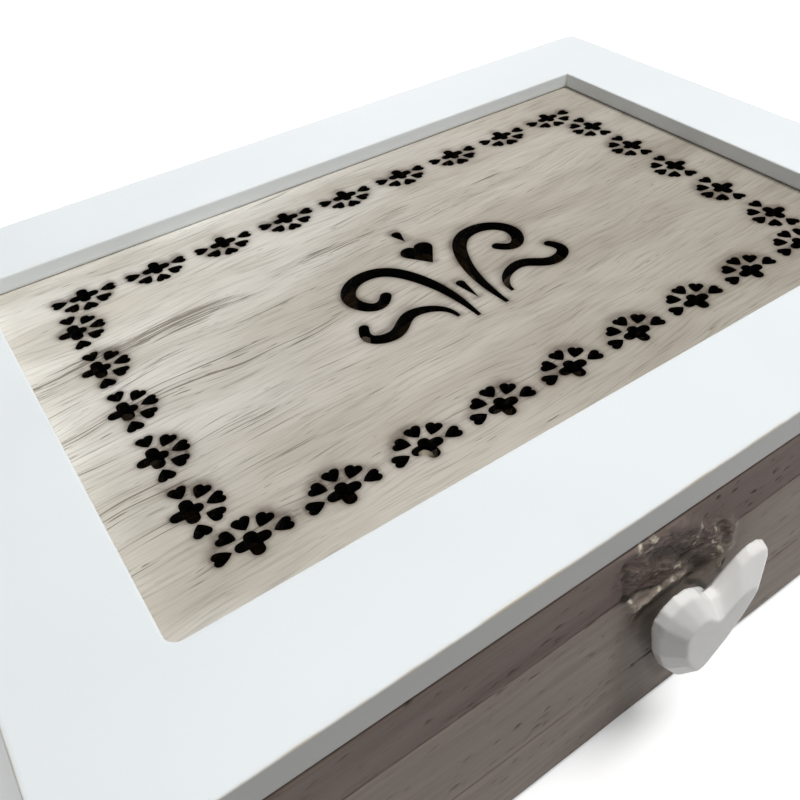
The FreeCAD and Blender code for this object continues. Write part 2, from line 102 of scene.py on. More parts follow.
# Camera: its place in metres, its axes, and its focal length in pixels of an 800 pixel picture
CAMERA_PLACE = (-0.09801, -0.13186, 0.19755)
CAMERA_RIGHT = Vector((0.8248461, -0.5625859, -0.0559104))
CAMERA_DOWN = Vector((-0.4207525, -0.5448069, -0.7253639))
CAMERA_FORWARD = Vector((0.3776191, 0.6218380, -0.6860913))
FOCAL_PIXELS = 816.072
PICTURE_WIDTH = 800
SENSOR_WIDTH = 36.0

# Soft boxes: place and aim in metres, side in metres and power in watts
LAMPS = {
    "overhead": ((0.3, -0.26, 1.2), (0, 0.02, 0.05), 0.4, 10.9),
    "back_fill": ((0.45, 1.2, 0.35), (0, 0, 0.04), 0.9, 4.0),
}
ROOM_LIGHT = 0.2
# The floor in millimetres from the chest's middle: its half width, and where its own glow starts and is full
FLOOR_HALF = 2500.0
GLOW_START = 200.0
GLOW_FULL = 700.0


def linear(code):
    """Linear colour of an sRGB hex value such as #ECF3F5."""
    channels = []
    for start in (1, 3, 5):
        share = int(code[start:start + 2], 16) / 255
        channels.append(share / 12.92 if share <= 0.04045 else ((share + 0.055) / 1.055) ** 2.4)
    return tuple(channels)


def colour(code, name, description):
    """Colour property whose default is an sRGB hex value."""
    return FloatVectorProperty(
        name=name, description=description, subtype="COLOR", size=3, min=0, max=1, default=linear(code)
    )


def length(millimetres, name, description):
    """Length property whose default is given in millimetres."""
    return FloatProperty(
        name=name, description=description, unit="LENGTH", precision=5, default=millimetres * MM
    )


def stretch(share, name, description):
    """Property for how many times larger something is drawn."""
    return FloatProperty(name=name, description=description, default=share)


def tally(count, name, description):
    """Property for how many of something there are."""
    return IntProperty(name=name, description=description, default=count)


class TeaChestSizes(bpy.types.PropertyGroup):
    """Sizes of the visible forms."""

    window_border: length(25.0, "Window border", "Width of the top frame around its window")
    corner_radius: length(3.5, "Corner radius", "Upright corners of the top frame and the drawer front")
    window_front: length(2.4, "Window, front corners", "Radius of the window's two front corners")
    window_back: length(0.8, "Window, back corners", "Radius of the window's two back corners")
    paint_edge: length(0.4, "Painted edge", "Radius of the top frame's painted edges")
    front_edge: length(0.7, "Front edge", "Radius of the drawer front's edges")
    shadow_gap: length(0.45, "Shadow gap", "Height of the fine gap between the frame and the panel")
    rub_width: length(0.5, "Rubbed width", "How far the rubbed paint reaches from an edge")
    board_edge: length(0.3, "Board edge", "Bevel of the plain boards")
    scorch_reach: length(0.45, "Scorch reach", "How far the cutting has browned the veneer")
    front_step: length(0.6, "Relief step", "Spacing of the drawer front's relief")
    upper_line: length(25.7, "Upper line", "Top surface down to the upper crack in the front")
    lower_line: length(59.1, "Lower line", "Top surface down to the lower crack in the front")
    line_width: length(0.9, "Line width", "Width of the cracks in the front")
    line_depth: length(0.7, "Line depth", "Depth of the cracks in the front")
    knot_height: length(0.8, "Knot height", "Height of the knot's tallest folds")
    glaze_step: length(0.38, "Glaze step", "Fineness of the knob's softened facets")
    felt_round: length(0.4, "Felt round", "Rounding of the felt pads")


class TeaChestFretwork(bpy.types.PropertyGroup):
    """Sizes of the cut-outs in the panel."""

    row_flowers: tally(9, "Flowers in a row", "Flowers along the front and the back")
    row_pitch: length(18.88, "Row pitch", "Spacing of the flowers along the front and back")
    row_distance: length(46.3, "Row distance", "Middle of the panel to the front and back rows")
    column_flowers: tally(5, "Flowers in a column", "Flowers along each side")
    column_pitch: length(16.6, "Column pitch", "Spacing of the flowers along the sides")
    column_distance: length(82.0, "Column distance", "Middle of the panel to the side columns")
    stretch_x: stretch(1.065, "Stretch, wide", "How many times wider the flowers are")
    stretch_y: stretch(0.94, "Stretch, deep", "How many times deeper the flowers are")
    heart_width: length(3.5, "Heart width", "Small hearts, across both lobes")
    heart_length: length(3.5, "Heart length", "Small hearts, tip to lobes")
    heart_lobe: length(1.0, "Heart lobe", "Radius of the small hearts' lobes")
    heart_middle: length(2.0, "Heart middle", "Tip of a small heart to its middle")
    heart_bulge: length(0.16, "Heart bulge", "How far the sides of a small heart swell")
    side_reach: length(5.9, "Side reach", "Middle of a flower to its side hearts")
    slant_reach: length(5.15, "Slant reach", "Middle of a flower to its slanted hearts")
    top_reach: length(5.15, "Top reach", "Middle of a flower to its top heart")
    eye_side: length(3.4, "Eye, side", "Middle of a flower's cross to the ends of its side arms")
    eye_head: length(2.65, "Eye, head", "Middle of a flower's cross to the end of its inward arm")
    eye_tail: length(3.6, "Eye, tail", "Middle of a flower's cross to the end of its outward arm")
    eye_arm: length(1.25, "Eye, arm", "Half width of the cross's arms")


class TeaChestColours(bpy.types.PropertyGroup):
    """Colours of the finishes."""

    paint: colour("#F0F5F7", "Paint", "Cool white satin paint")
    # Painted shade: the grey of the top frame's outer walls
    shaded_edge: colour("#D6D6D4", "Edge paint", "Paint on the sawn outer edge of the top")
    rubbed: colour("#C4B9A2", "Rubbed edge", "Primer and board where the paint is rubbed through")
    veneer_pale: colour("#ECE8DF", "Veneer, pale", "Pale wood between the grain lines")
    veneer_mid: colour("#D6D0C4", "Veneer, mid", "Middle tone of the grey-washed veneer")
    veneer_dark: colour("#625848", "Veneer, dark", "Open pores and dark streaks")
    scorch: colour("#4F4337", "Scorch", "Veneer browned beside the cuts")
    char: colour("#060504", "Char", "Burnt walls of the cut-outs")
    front_pale: colour("#A6998F", "Front, pale", "Pale streaks of the drawer front")
    front_mid: colour("#93867C", "Front, mid", "Middle tone of the drawer front")
    front_dark: colour("#60504A", "Front, dark", "Darker bands and patches of the drawer front")
    # Also the painted shade beside the knob, under the flap and along the bottom edge
    front_pit_and_shade: colour("#221C15", "Front, pits", "Bottoms of the cracks, pits and hollows")
    # Painted highlight on the tops of the knot's wrinkles
    knot_highlight: colour("#A99D92", "Knot, grey", "Worn tops of the knot's wrinkles")
    # Painted glints on the knot's crests
    knot_glint: colour("#E9E0CB", "Knot, cream", "Bare crests of the knot")
    ply_pale: colour("#C9BBA5", "Ply, pale", "Pale fibres of the drawer's boards")
    ply_dark: colour("#A08F78", "Ply, dark", "Dark fibres of the drawer's boards")
    glaze: colour("#F5F4F1", "Glaze", "White glaze of the knob")
    felt: colour("#6F6C69", "Felt", "Grey felt of the pads")
    zinc: colour("#B9BBBD", "Zinc", "Zinc plating of the fixings")
    brass: colour("#C7A15A", "Brass", "Turned brass of the knob's bush")


def in_millimetres(group):
    """Values of a property group by name, with its lengths in millimetres."""
    values = {}
    for name in type(group).__annotations__:
        value = getattr(group, name)
        values[name] = value / MM if group.bl_rna.properties[name].unit == "LENGTH" else value
    return SimpleNamespace(**values)


def add_node(tree, kind, inputs=None, stops=(), **settings):
    """Add a shader node, set it up, and link or set its inputs; a node stands for its first output."""
    made = tree.nodes.new("ShaderNode" + kind)
    for name, value in settings.items():
        setattr(made, name, value)
    if stops:
        ramp = made.color_ramp.elements
        while len(ramp) < len(stops):
            ramp.new(1.0)
        for element, (place, shade) in zip(ramp, stops):
            element.position = place
            element.color = (*shade, 1.0) if hasattr(shade, "__len__") else (shade, shade, shade, 1.0)
    for name, value in (inputs or {}).items():
        socket = made.inputs[name]
        if isinstance(value, bpy.types.Node):
            value = next(output for output in value.outputs if output.enabled)
        if isinstance(value, bpy.types.NodeSocket):
            tree.links.new(value, socket)
        else:
            socket.default_value = (*value, 1.0) if socket.type == "RGBA" else value
    return made


def new_material(name):
    """Material without nodes but for its coordinates, which are in millimetres."""
    material = bpy.data.materials.new(name)
    material.use_nodes = True
    tree = material.node_tree
    tree.nodes.clear()
    place = add_node(tree, "TexCoord").outputs["Object"]
    return material, tree, add_node(tree, "Mapping", {"Vector": place, "Scale": (1 / MM, 1 / MM, 1 / MM)})


def finish_material(material, inputs, *reliefs):
    """Set the shader, over fine reliefs that each have a height, a strength and a rise in millimetres."""
    tree = material.node_tree
    normal = {}
    for height, strength, rise in reliefs:
        bump = {"Height": height, "Strength": strength, "Distance": rise * MM, **normal}
        normal = {"Normal": add_node(tree, "Bump", bump)}
    shader = add_node(tree, "BsdfPrincipled", {**inputs, **normal})
    add_node(tree, "OutputMaterial", {"Surface": shader})
    return material


def grain(tree, place, reach, detail, **inputs):
    """Pattern of patches that reach about so many millimetres, all ways alike or along each axis."""
    reaches = reach if isinstance(reach, tuple) else (reach, reach, reach)
    scaled = add_node(tree, "Mapping", {"Vector": place, "Scale": [1 / each for each in reaches]})
    return add_node(tree, "TexNoise", {"Vector": scaled, "Scale": 1.0, "Detail": detail, **inputs})


def swaying(tree, place, reaches, detail, axis, most):
    """Coordinates that wander along one axis, so that straight grain sways."""
    sway = grain(tree, place, reaches, detail)
    lift = add_node(tree, "MapRange", {"Value": sway, "To Min": -most, "To Max": most})
    return add_node(
        tree, "VectorMath", {0: place, 1: add_node(tree, "CombineXYZ", {axis: lift})}, operation="ADD"
    )


def coats(tree, under, layers, blend="MIX"):
    """Colour after each further colour is laid over the last by its share."""
    for share, over in layers:
        inputs = {"Factor": share, "A": under, "B": over}
        under = add_node(tree, "Mix", inputs, data_type="RGBA", blend_type=blend)
    return under


def painted_board_material(colours):
    """Satin acrylic paint sprayed on fibreboard: even cool white, faint orange peel, rubbed edges, and
    painted shade on the top's outer walls.
    """
    material, tree, place = new_material("satin_paint")
    cloud = grain(tree, place, 45, 3.0)
    tint = add_node(tree, "ValToRGB", {"Fac": cloud}, ((0.3, 0.965), (0.7, 1.0)))
    body = coats(tree, colours.paint, ((1.0, tint),), "MULTIPLY")
    patches = grain(tree, place, 9, 4.0)
    worn = add_node(tree, "ValToRGB", {"Fac": patches}, ((0.38, 0.25), (0.62, 0.95)))
    rub, soak = (
        add_node(tree, "Attribute", attribute_name=name).outputs["Fac"] for name in ("rub", "soak")
    )
    bared = add_node(tree, "Math", {0: rub, 1: worn}, operation="MULTIPLY")
    # The top frame's outer walls are laid a little greyer, as painted shade
    shade = coats(tree, body, ((soak, colours.shaded_edge), (bared, colours.rubbed)))
    inputs = {"Base Color": shade, "Roughness": 0.5, "IOR": 1.5, "Specular IOR Level": 0.25}
    return finish_material(material, inputs, (grain(tree, place, 1.4, 2.0), 0.12, 0.2))


# What the wash leaves of the wood's tone on the way from the back left corner to the front right one
WASH = ((0.15, "#FFFFFF"), (0.37, "#DFDDDB"), (0.5, "#D6D2CE"), (0.68, "#C5C1BC"), (1.0, "#AAA49D"))
# Growth bands across the leaf, front to back, as shares of 140 mm, and how closely pores stand in them
BANDS = (
    (0.0, 0.0), (0.13, 0.05), (0.2, 0.3), (0.26, 0.15), (0.33, 0.45), (0.42, 0.3), (0.5, 0.6),
    (0.56, 0.25), (0.6, 0.45), (0.645, 0.15), (0.67, 1.0), (0.7, 1.0), (0.72, 0.1), (0.85, 0.1),
    (0.96, 0.3),
)


def veneer_tone(tree, colours, axes, swayed, fibres):
    """Washed wood of the veneer: pale and mid patches, fine fibres, a wash that has sunk in unevenly."""
    patches = grain(tree, swayed, (46, 13, 13), 4.0)
    base = add_node(
        tree, "ValToRGB", {"Fac": patches}, ((0.38, colours.veneer_mid), (0.6, colours.veneer_pale))
    )
    fibre_tone = add_node(tree, "ValToRGB", {"Fac": fibres}, ((0.34, 0.8), (0.46, 0.96), (0.6, 1.03)))
    # The wash has sunk in deeper, and browner, towards the front right corner
    askance = add_node(
        tree, "Math", {0: axes.outputs["Y"], 1: -1.1, 2: axes.outputs["X"]}, operation="MULTIPLY_ADD"
    )
    cornerwards = add_node(tree, "MapRange", {"Value": askance, "From Min": -165.0, "From Max": 165.0})
    wash = [(place, linear(code)) for place, code in WASH]
    soaked = add_node(tree, "ValToRGB", {"Fac": cornerwards}, wash)
    return coats(tree, base, ((1.0, fibre_tone), (1.0, soaked)), "MULTIPLY")


def veneer_crowding(tree, axes, swayed):
    """How closely the veneer's pores stand: in growth bands that fade along the grain and to the right."""
    leaf = add_node(tree, "MapRange", {"Value": axes.outputs["Y"], "From Min": -65.0, "From Max": 75.0})
    crowding = add_node(tree, "ValToRGB", {"Fac": leaf}, BANDS)
    along = grain(tree, swayed, (30, 5, 5), 2.0)
    fading = add_node(tree, "ValToRGB", {"Fac": along}, ((0.36, 0.2), (0.6, 1.1)))
    rightwards = add_node(
        tree, "MapRange", {"Value": axes.outputs["X"], "From Min": -95.0, "From Max": 95.0}
    )
    span = {"Value": rightwards, "From Max": 0.75, "To Min": 1.15, "To Max": 0.4}
    waning = add_node(tree, "MapRange", span)
    for share in (fading, waning):
        crowding = add_node(tree, "Math", {0: crowding, 1: share}, operation="MULTIPLY")
    return crowding


def veneer_pores(tree, swayed, crowding):
    """Open pores: lines 0.4 mm wide, some 6 mm long between the bands and 24 mm long in them."""
    # Between its lines a crowded band is a little darker too
    pored = add_node(tree, "Math", {0: crowding, 1: 0.22}, operation="MULTIPLY")
    for long, wide, sparse, crowded in ((6.5, 0.42, 0.71, 0.54), (24, 0.46, 0.69, 0.445)):
        lines = grain(tree, swayed, (long, wide, wide), 2.0)
        level = add_node(tree, "MapRange", {"Value": crowding, "To Min": sparse, "To Max": crowded})
        depth = add_node(tree, "Math", {0: lines, 1: level}, operation="SUBTRACT")
        share = add_node(tree, "MapRange", {"Value": depth, "From Max": 0.07, "To Max": 0.8})
        pored = add_node(tree, "Math", {0: pored, 1: share}, operation="MAXIMUM")
    return pored


def veneer_material(colours):
    """Grey-washed open-pored oak veneer, brushed matt: short pale fibres, dark pores crowded in bands."""
    material, tree, place = new_material("grey_washed_oak_veneer")
    # The leaf lies 3 degrees askew, and its fibres wander 2 mm to either side of straight
    laid = add_node(tree, "Mapping", {"Vector": place, "Rotation": (0, 0, math.radians(-3))})
    swayed = swaying(tree, laid, (42, 18, 18), 1.5, "Y", 4.5)
    axes = add_node(tree, "SeparateXYZ", {"Vector": swayed})
    # Fibres some 12 mm long and 0.6 mm wide, drawn twice as wide as real ones so that they show
    fibres = grain(tree, swayed, (12, 0.62, 0.62), 3.0)
    pored = veneer_pores(tree, swayed, veneer_crowding(tree, axes, swayed))
    toned = veneer_tone(tree, colours, axes, swayed, fibres)
    scorch = add_node(tree, "Attribute", attribute_name="scorch").outputs["Fac"]
    shade = coats(tree, toned, ((pored, colours.veneer_dark), (scorch, colours.scorch)))
    height = add_node(tree, "Math", {0: fibres, 1: pored}, operation="SUBTRACT")
    inputs = {"Base Color": shade, "Roughness": 0.7, "IOR": 1.5, "Specular IOR Level": 0.3}
    return finish_material(material, inputs, (height, 0.35, 0.2))


def rustic_wood_material(colours):
    """Weathered hardwood slab, planed and oiled matt: long soft streaks, dark cracks, a gnarled knot, with
    painted glints and painted shadow beside the knob.
    """
    material, tree, place = new_material("weathered_hardwood")
    swayed = swaying(tree, place, (40, 40, 12), 2.0, "Z", 5.0)
    streaks = grain(tree, swayed, (48, 6, 3.2), 6.0)
    base = add_node(
        tree, "ValToRGB", {"Fac": streaks}, ((0.3, colours.front_mid), (0.68, colours.front_pale))
    )
    # Fibres some 12 mm long and 0.5 mm wide, several times as wide as real ones so that they show
    fibres = grain(tree, swayed, (12, 1.2, 0.5), 3.0)
    fibre_tone = add_node(tree, "ValToRGB", {"Fac": fibres}, ((0.28, 0.86), (0.7, 1.0)))
    toned = coats(tree, base, ((1.0, fibre_tone),), "MULTIPLY")
    dark, pit_and_shade, glint, gnarl = (
        add_node(tree, "Attribute", attribute_name=name).outputs["Fac"] for name in FRONT_LOOKS
    )
    # Curled grain of the knot: wrinkles about 1 mm apart that run down to the right, dark in their bottoms
    # and grey on their tops as painted shade and highlight
    askew = add_node(tree, "Mapping", {"Vector": place, "Rotation": (0, math.radians(-38), 0)})
    curls = grain(tree, askew, (7, 3, 1.1), 4.0, Distortion=0.6)
    curl_stops = (
        (0.34, colours.front_pit_and_shade), (0.44, colours.front_dark), (0.56, colours.front_dark),
        (0.7, colours.knot_highlight),
    )
    curl_light_and_shade = add_node(tree, "ValToRGB", {"Fac": curls}, curl_stops)
    curled = add_node(tree, "Math", {0: gnarl, 1: 0.7}, operation="MULTIPLY")
    # Painted glints on the knot's crests break up in flecks about 1 mm across
    flecks = add_node(tree, "ValToRGB", {"Fac": grain(tree, place, 0.909, 3.0)}, ((0.42, 0.2), (0.58, 1.0)))
    bared = add_node(tree, "Math", {0: glint, 1: flecks}, operation="MULTIPLY")
    # The pit layer carries painted shade, and the last layer painted glints
    layers = (
        (dark, colours.front_dark), (curled, curl_light_and_shade), (pit_and_shade, colours.front_pit_and_shade),
        (bared, colours.knot_glint),
    )
    shade = coats(tree, toned, layers)
    wrinkled = add_node(tree, "Math", {0: gnarl, 1: curls}, operation="MULTIPLY")
    inputs = {"Base Color": shade, "Roughness": 0.6, "IOR": 1.5, "Specular IOR Level": 0.2}
    return finish_material(material, inputs, (fibres, 0.3, 0.3), (wrinkled, 0.5, 1.0))


def char_material(colours):
    """Veneer edges burnt black by the cutting beam: matt and sooty, browner where the beam ran fast."""
    material, tree, place = new_material("charred_veneer_edge")
    soot = grain(tree, place, 1.25, 4.0)
    shade = add_node(tree, "ValToRGB", {"Fac": soot}, ((0.55, colours.char), (1.0, colours.scorch)))
    inputs = {"Base Color": shade, "Roughness": 0.95, "IOR": 1.45, "Specular IOR Level": 0.08}
    return finish_material(material, inputs)


def glaze_material(colours):
    """Opaque white satin glaze over stoneware: soft gloss, thin and warm where it breaks over an edge."""
    material, tree, place = new_material("white_glaze")
    edge = add_node(tree, "NewGeometry").outputs["Pointiness"]
    thin = add_node(tree, "ValToRGB", {"Fac": edge}, ((0.5, 0.0), (0.62, 0.35)))
    share = add_node(tree, "Math", {0: thin, 1: grain(tree, place, 5, 3.0)}, operation="MULTIPLY")
    shade = coats(tree, colours.glaze, ((share, colours.rubbed),))
    inputs = {"Base Color": shade, "Roughness": 0.26, "IOR": 1.5, "Specular IOR Level": 0.1}
    return finish_material(material, inputs, (grain(tree, place, 4, 1.0), 0.25, 0.4))


def plywood_material(colours):
    """Sanded birch plywood, left bare: pale, dry, with faint long fibres along each board."""
    material, tree, place = new_material("bare_birch_plywood")
    # Bundles of fibres 22 mm long and 0.9 mm wide; single ones are too fine to show
    fibres = grain(tree, place, (22, 22, 0.9), 4.0)
    shade = add_node(tree, "ValToRGB", {"Fac": fibres}, ((0.32, colours.ply_dark), (0.6, colours.ply_pale)))
    inputs = {"Base Color": shade, "Roughness": 0.72, "IOR": 1.5}
    return finish_material(material, inputs, (fibres, 0.2, 0.2))


def felt_material(colours):
    """Pressed wool felt: soft, with a sheen of loose fibres and a mottled grey."""
    material, tree, place = new_material("wool_felt")
    # Tufts nearly half a millimetre across; single fibres are too fine to show
    wool = grain(tree, place, 0.4545, 5.0)
    shade = add_node(tree, "ValToRGB", {"Fac": wool}, ((0.35, colours.felt * 0.6), (0.65, colours.felt)))
    inputs = {"Base Color": shade, "Roughness": 0.95, "Sheen Weight": 0.4}
    return finish_material(material, inputs, (wool, 0.6, 0.3))


def metal_material(name, tone, roughness):
    """Metal with the fine swirl that barrel tumbling leaves."""
    material, tree, place = new_material(name)
    # Swirls two thirds of a millimetre across, drawn coarser than real ones so that they show
    wear = grain(tree, place, 0.667, 4.0)
    shade = add_node(tree, "ValToRGB", {"Fac": wear}, ((0.35, tone * 0.8), (0.65, tone)))
    span = {"Value": wear, "To Min": roughness - 0.07, "To Max": roughness + 0.07}
    inputs = {"Base Color": shade, "Metallic": 1.0, "Roughness": add_node(tree, "MapRange", span)}
    return finish_material(material, inputs)


def mesh_object(name, points, faces, materials, sharp_angle=32):
    """Object from points in millimetres, shaded smooth except over sharp edges."""
    mesh = bpy.data.meshes.new(name)
    mesh.from_pydata((np.asarray(points, float) * MM).tolist(), [], faces)
    for material in materials:
        mesh.materials.append(material)
    mesh.shade_smooth()
    mesh.set_sharp_from_angle(angle=math.radians(sharp_angle))
    made = bpy.data.objects.new(name, mesh)
    bpy.context.scene.collection.objects.link(made)
    return made


def mark_points(made, **marks):
    """Give each point of a mesh the numbers that its material reads."""
    for name, values in marks.items():
        attribute = made.data.attributes.new(name, "FLOAT", "POINT")
        attribute.data.foreach_set("value", np.asarray(values, np.float32))


# Points of each rounded corner of a ring
CORNER_POINTS = 9


def rounded_ring(half_x, half_y, front_radius, back_radius=None):
    """Outline of a rounded rectangle, anticlockwise, with the same number of points at any size."""
    ring = []
    for quarter in range(4):
        across = 1 if quarter in (0, 3) else -1
        along = 1 if quarter < 2 else -1
        radius = back_radius if back_radius and quarter < 2 else front_radius
        for turn in np.linspace(quarter, quarter + 1, CORNER_POINTS) * math.pi / 2:
            x = across * (half_x - radius) + radius * math.cos(turn)
            ring.append((x, along * (half_y - radius) + radius * math.sin(turn)))
    return ring


def loop_faces(rings, count):
    """Quads between neighbouring rings of points, the last ring joined to the first."""
    faces = []
    for ring in range(rings):
        below = ring * count
        above = ((ring + 1) % rings) * count
        for step in range(count):
            onward = (step + 1) % count
            faces.append((below + step, below + onward, above + onward, above + step))
    return faces


# Least corner radius of the top frame's rings, room round the panel in its rebate, and the rebate's corners
LEAST_CORNER = 0.4
REBATE_ROOM = 0.3
REBATE_CORNER = 3.0
# How far the paint is rubbed over the frame's outer top edge, from its wall to its top, and at the window
EDGE_RUB = (0.35, 1, 1, 0.6, 0.2)
WINDOW_RUB = 0.08


def top_frame_rings(sizes):
    """Rings round the top frame and down its window: size and corners, height, how far they are rubbed."""
    top, bottom, ledge = FRAME_HIGH.z, FRAME_LOW.z, PANEL_HIGH.z
    half = (FRAME_HIGH - FRAME_LOW) / 2
    rebate = (PANEL_HIGH - PANEL_LOW) / 2
    edge, rub, gap = sizes.paint_edge, sizes.rub_width, sizes.shadow_gap
    lower_edge = edge / 2
    arc = [math.radians(angle) for angle in (0, 22.5, 45, 67.5, 90)]
    bends = [(edge * (1 - math.cos(angle)), top - edge * (1 - math.sin(angle))) for angle in arc]
    # Distance in from the outer edge, height, and how far the paint is rubbed
    outer = [
        (lower_edge + rub, bottom, 0), (lower_edge, bottom, 0.5),
        (lower_edge * 0.3, bottom + lower_edge * 0.3, 1), (0, bottom + lower_edge, 0.5),
        (0, bottom + lower_edge + rub, 0), (0, top - edge - rub, 0),
    ]
    outer += [(*bend, share) for bend, share in zip(bends, EDGE_RUB)] + [(edge + rub, top, 0)]
    rings = [
        ((half.x - inset, half.y - inset, max(sizes.corner_radius - inset, LEAST_CORNER)), height, share)
        for inset, height, share in outer
    ]
    # The same, out from the window
    inner = [(edge + rub, top, 0)] + [(*bend, WINDOW_RUB) for bend in reversed(bends)]
    inner += [(0, top - edge - rub, 0), (0, ledge + gap + rub, 0), (0, ledge + gap, 0), (gap, ledge, 0)]
    for outset, height, share in inner:
        across, along = (side - sizes.window_border + outset for side in half.xy)
        corners = (sizes.window_front + outset, sizes.window_back + outset)
        rings.append(((across, along, *corners), height, share))
    for height in (ledge, bottom):
        rings.append(((rebate.x + REBATE_ROOM, rebate.y + REBATE_ROOM, REBATE_CORNER), height, 0))
    return rings


def build_top_frame(sizes, material):
    """White top board: rounded edges, a window with a fine shadow gap at the panel, a rebate below."""
    rings = top_frame_rings(sizes)
    middle = (FRAME_HIGH + FRAME_LOW) / 2
    outer_wall = FRAME_HIGH.x - middle.x - 0.1 * sizes.paint_edge
    points, rubbed, soaked = [], [], []
    for (half_x, half_y, *corners), height, share in rings:
        at_window = len(corners) == 2 and PANEL_HIGH.z < height < FRAME_HIGH.z
        for step, (x, y) in enumerate(rounded_ring(half_x, half_y, *corners)):
            # The window's back corners are sharp, and the paint there is rubbed through
            from_bend = abs(step % CORNER_POINTS - CORNER_POINTS // 2)
            bare = 1 - from_bend / 3 if at_window and step < 2 * CORNER_POINTS else 0
            points.append((middle.x + x, middle.y + y, height))
            rubbed.append(max(share, bare, 0))
            # Painted shade on the outer walls
            soaked.append(float(half_x > outer_wall))
    faces = loop_faces(len(rings), len(points) // len(rings))
    made = mesh_object("painted_top", points, faces, [material], sharp_angle=50)
    mark_points(made, rub=rubbed, soak=soaked)
    return made


def turned(outline, degrees, x=0.0, y=0.0):
    """Outline turned about the origin, then moved."""
    cosine = math.cos(math.radians(degrees))
    sine = math.sin(math.radians(degrees))
    return outline @ np.array(((cosine, sine), (-sine, cosine))) + (x, y)


def heart_outline(width, length, lobe_radius, steps, bulge=0.0):
    """Heart with its tip at the origin and its lobes towards +Y."""
    lobe = np.array((width / 2 - lobe_radius, length - lobe_radius))
    flare = math.asin(lobe_radius / math.hypot(*lobe))
    first = math.atan2(lobe[1], lobe[0]) - flare - math.pi / 2
    last = math.acos(-lobe[0] / lobe_radius)
    angles = np.linspace(first, last, steps + 1)
    right = lobe + lobe_radius * np.column_stack((np.cos(angles), np.sin(angles)))
    share = np.linspace(0.12, 0.88, 5)[:, None]
    outward = np.array((math.cos(first), math.sin(first)))
    side = share * right[0] + 4 * bulge * share * (1 - share) * outward
    right = np.vstack((side, right))
    left = (right * (-1, 1))[-2::-1]
    return np.vstack(([(0, 0)], right, left))


def eye_outline(reaches, half_width, steps):
    """Cross with stubby round-ended arms, to the right, inward, left and outward."""
    angles = np.linspace(-math.pi / 2, math.pi / 2, steps)
    arms = []
    for quarter, reach in enumerate(reaches):
        end = np.column_stack((reach - half_width * (1 - np.cos(angles)), half_width * np.sin(angles)))
        arms.append(turned(np.vstack((end, [(half_width * 1.05, half_width * 1.05)])), 90 * quarter))
    return np.vstack(arms)


def drop_outline(length, radius, steps):
    """Teardrop with its point at the origin and its round end towards +Y."""
    flare = math.asin(radius / (length - radius))
    angles = np.linspace(-flare, math.pi + flare, steps)
    round_end = np.column_stack((radius * np.cos(angles), length - radius + radius * np.sin(angles)))
    return np.vstack(([(0, 0)], round_end))


def end_slope(places, points):
    """Slope at the first of four points of the cubic through them."""
    curve = [np.polyfit(places - places[0], points[:, axis], 3) for axis in (0, 1)]
    return np.array([axis[2] for axis in curve])


def smooth_line(points, count):
    """Evenly timed points along a cubic spline that runs through the given ones, and their headings."""
    points = np.array(points, float)
    steps = np.linalg.norm(np.diff(points, axis=0), axis=1)
    places = np.concatenate(([0], np.cumsum(steps)))
    chord = np.diff(points, axis=0) / steps[:, None]
    size = len(points)
    system = np.eye(size)
    wanted = np.zeros((size, 2))
    wanted[0] = end_slope(places[:4], points[:4])
    wanted[-1] = end_slope(places[:-5:-1], points[:-5:-1])
    for index in range(1, size - 1):
        before, after = steps[index - 1], steps[index]
        system[index, index - 1:index + 2] = after, 2 * (before + after), before
        wanted[index] = 3 * (after * chord[index - 1] + before * chord[index])
    slopes = np.linalg.solve(system, wanted)
    times = np.linspace(0, places[-1], count)
    spans = np.clip(np.searchsorted(places, times, side="right") - 1, 0, size - 2)
    step = steps[spans][:, None]
    share = (times - places[spans])[:, None] / step
    rest = 1 - share
    line = points[spans] * rest ** 2 * (1 + 2 * share) + points[spans + 1] * share ** 2 * (1 + 2 * rest)
    line += step * share * rest * (rest * slopes[spans] - share * slopes[spans + 1])
    heading = np.gradient(line, axis=0)
    return line, heading / np.linalg.norm(heading, axis=1)[:, None]


def stroke_outline(spine, widths, count, end_steps=12):
    """Stroke along a spine: a fine start, a full middle and a round end."""
    start, full, end = widths
    line, heading = smooth_line(spine, count)
    aside = heading[:, ::-1] * (-1, 1)
    share = np.linspace(0, 1, count)
    width = start + (end - start) * share + (full - (start + end) / 2) * np.sin(math.pi * share)
    offset = aside * width[:, None] / 2
    turns = np.linspace(0, math.pi, end_steps + 1)[1:-1, None]
    cap = line[-1] + (aside[-1] * np.cos(turns) + heading[-1] * np.sin(turns)) * end / 2
    return np.vstack((line + offset, cap, (line - offset)[::-1]))[::-1]


# Ornament in the middle of the panel, its right half, in millimetres from the panel's middle.
# The heart has a width, a length and lobes of one radius, and its tip stands this far back
CENTRE_HEART = (9.0, 9.6, 2.45)
CENTRE_HEART_TIP = 3.9
# Each drop has the place of its point, a length and a radius
DROPS = ((16.2, 5.4, 1.3), (-14.6, 8.4, 1.15))
# Each stroke has a spine, its widths at the start, middle and end, and how many points are laid along it
STROKES = (
    (
        (
            (4.1, -20.0), (4.4, -9.5), (7.0, 0.8), (13.2, 8.8), (20.8, 8.6), (24.6, 2.8), (21.6, -2.4),
            (17.0, -0.4),
        ),
        (1.0, 3.8, 2.8), 90,
    ),
    (
        ((8.0, -17.4), (11.2, -11.4), (17.2, -10.2), (23.2, -13.8), (28.2, -12.4), (27.8, -7.6)),
        (0.9, 3.4, 2.4), 60,
    ),
)


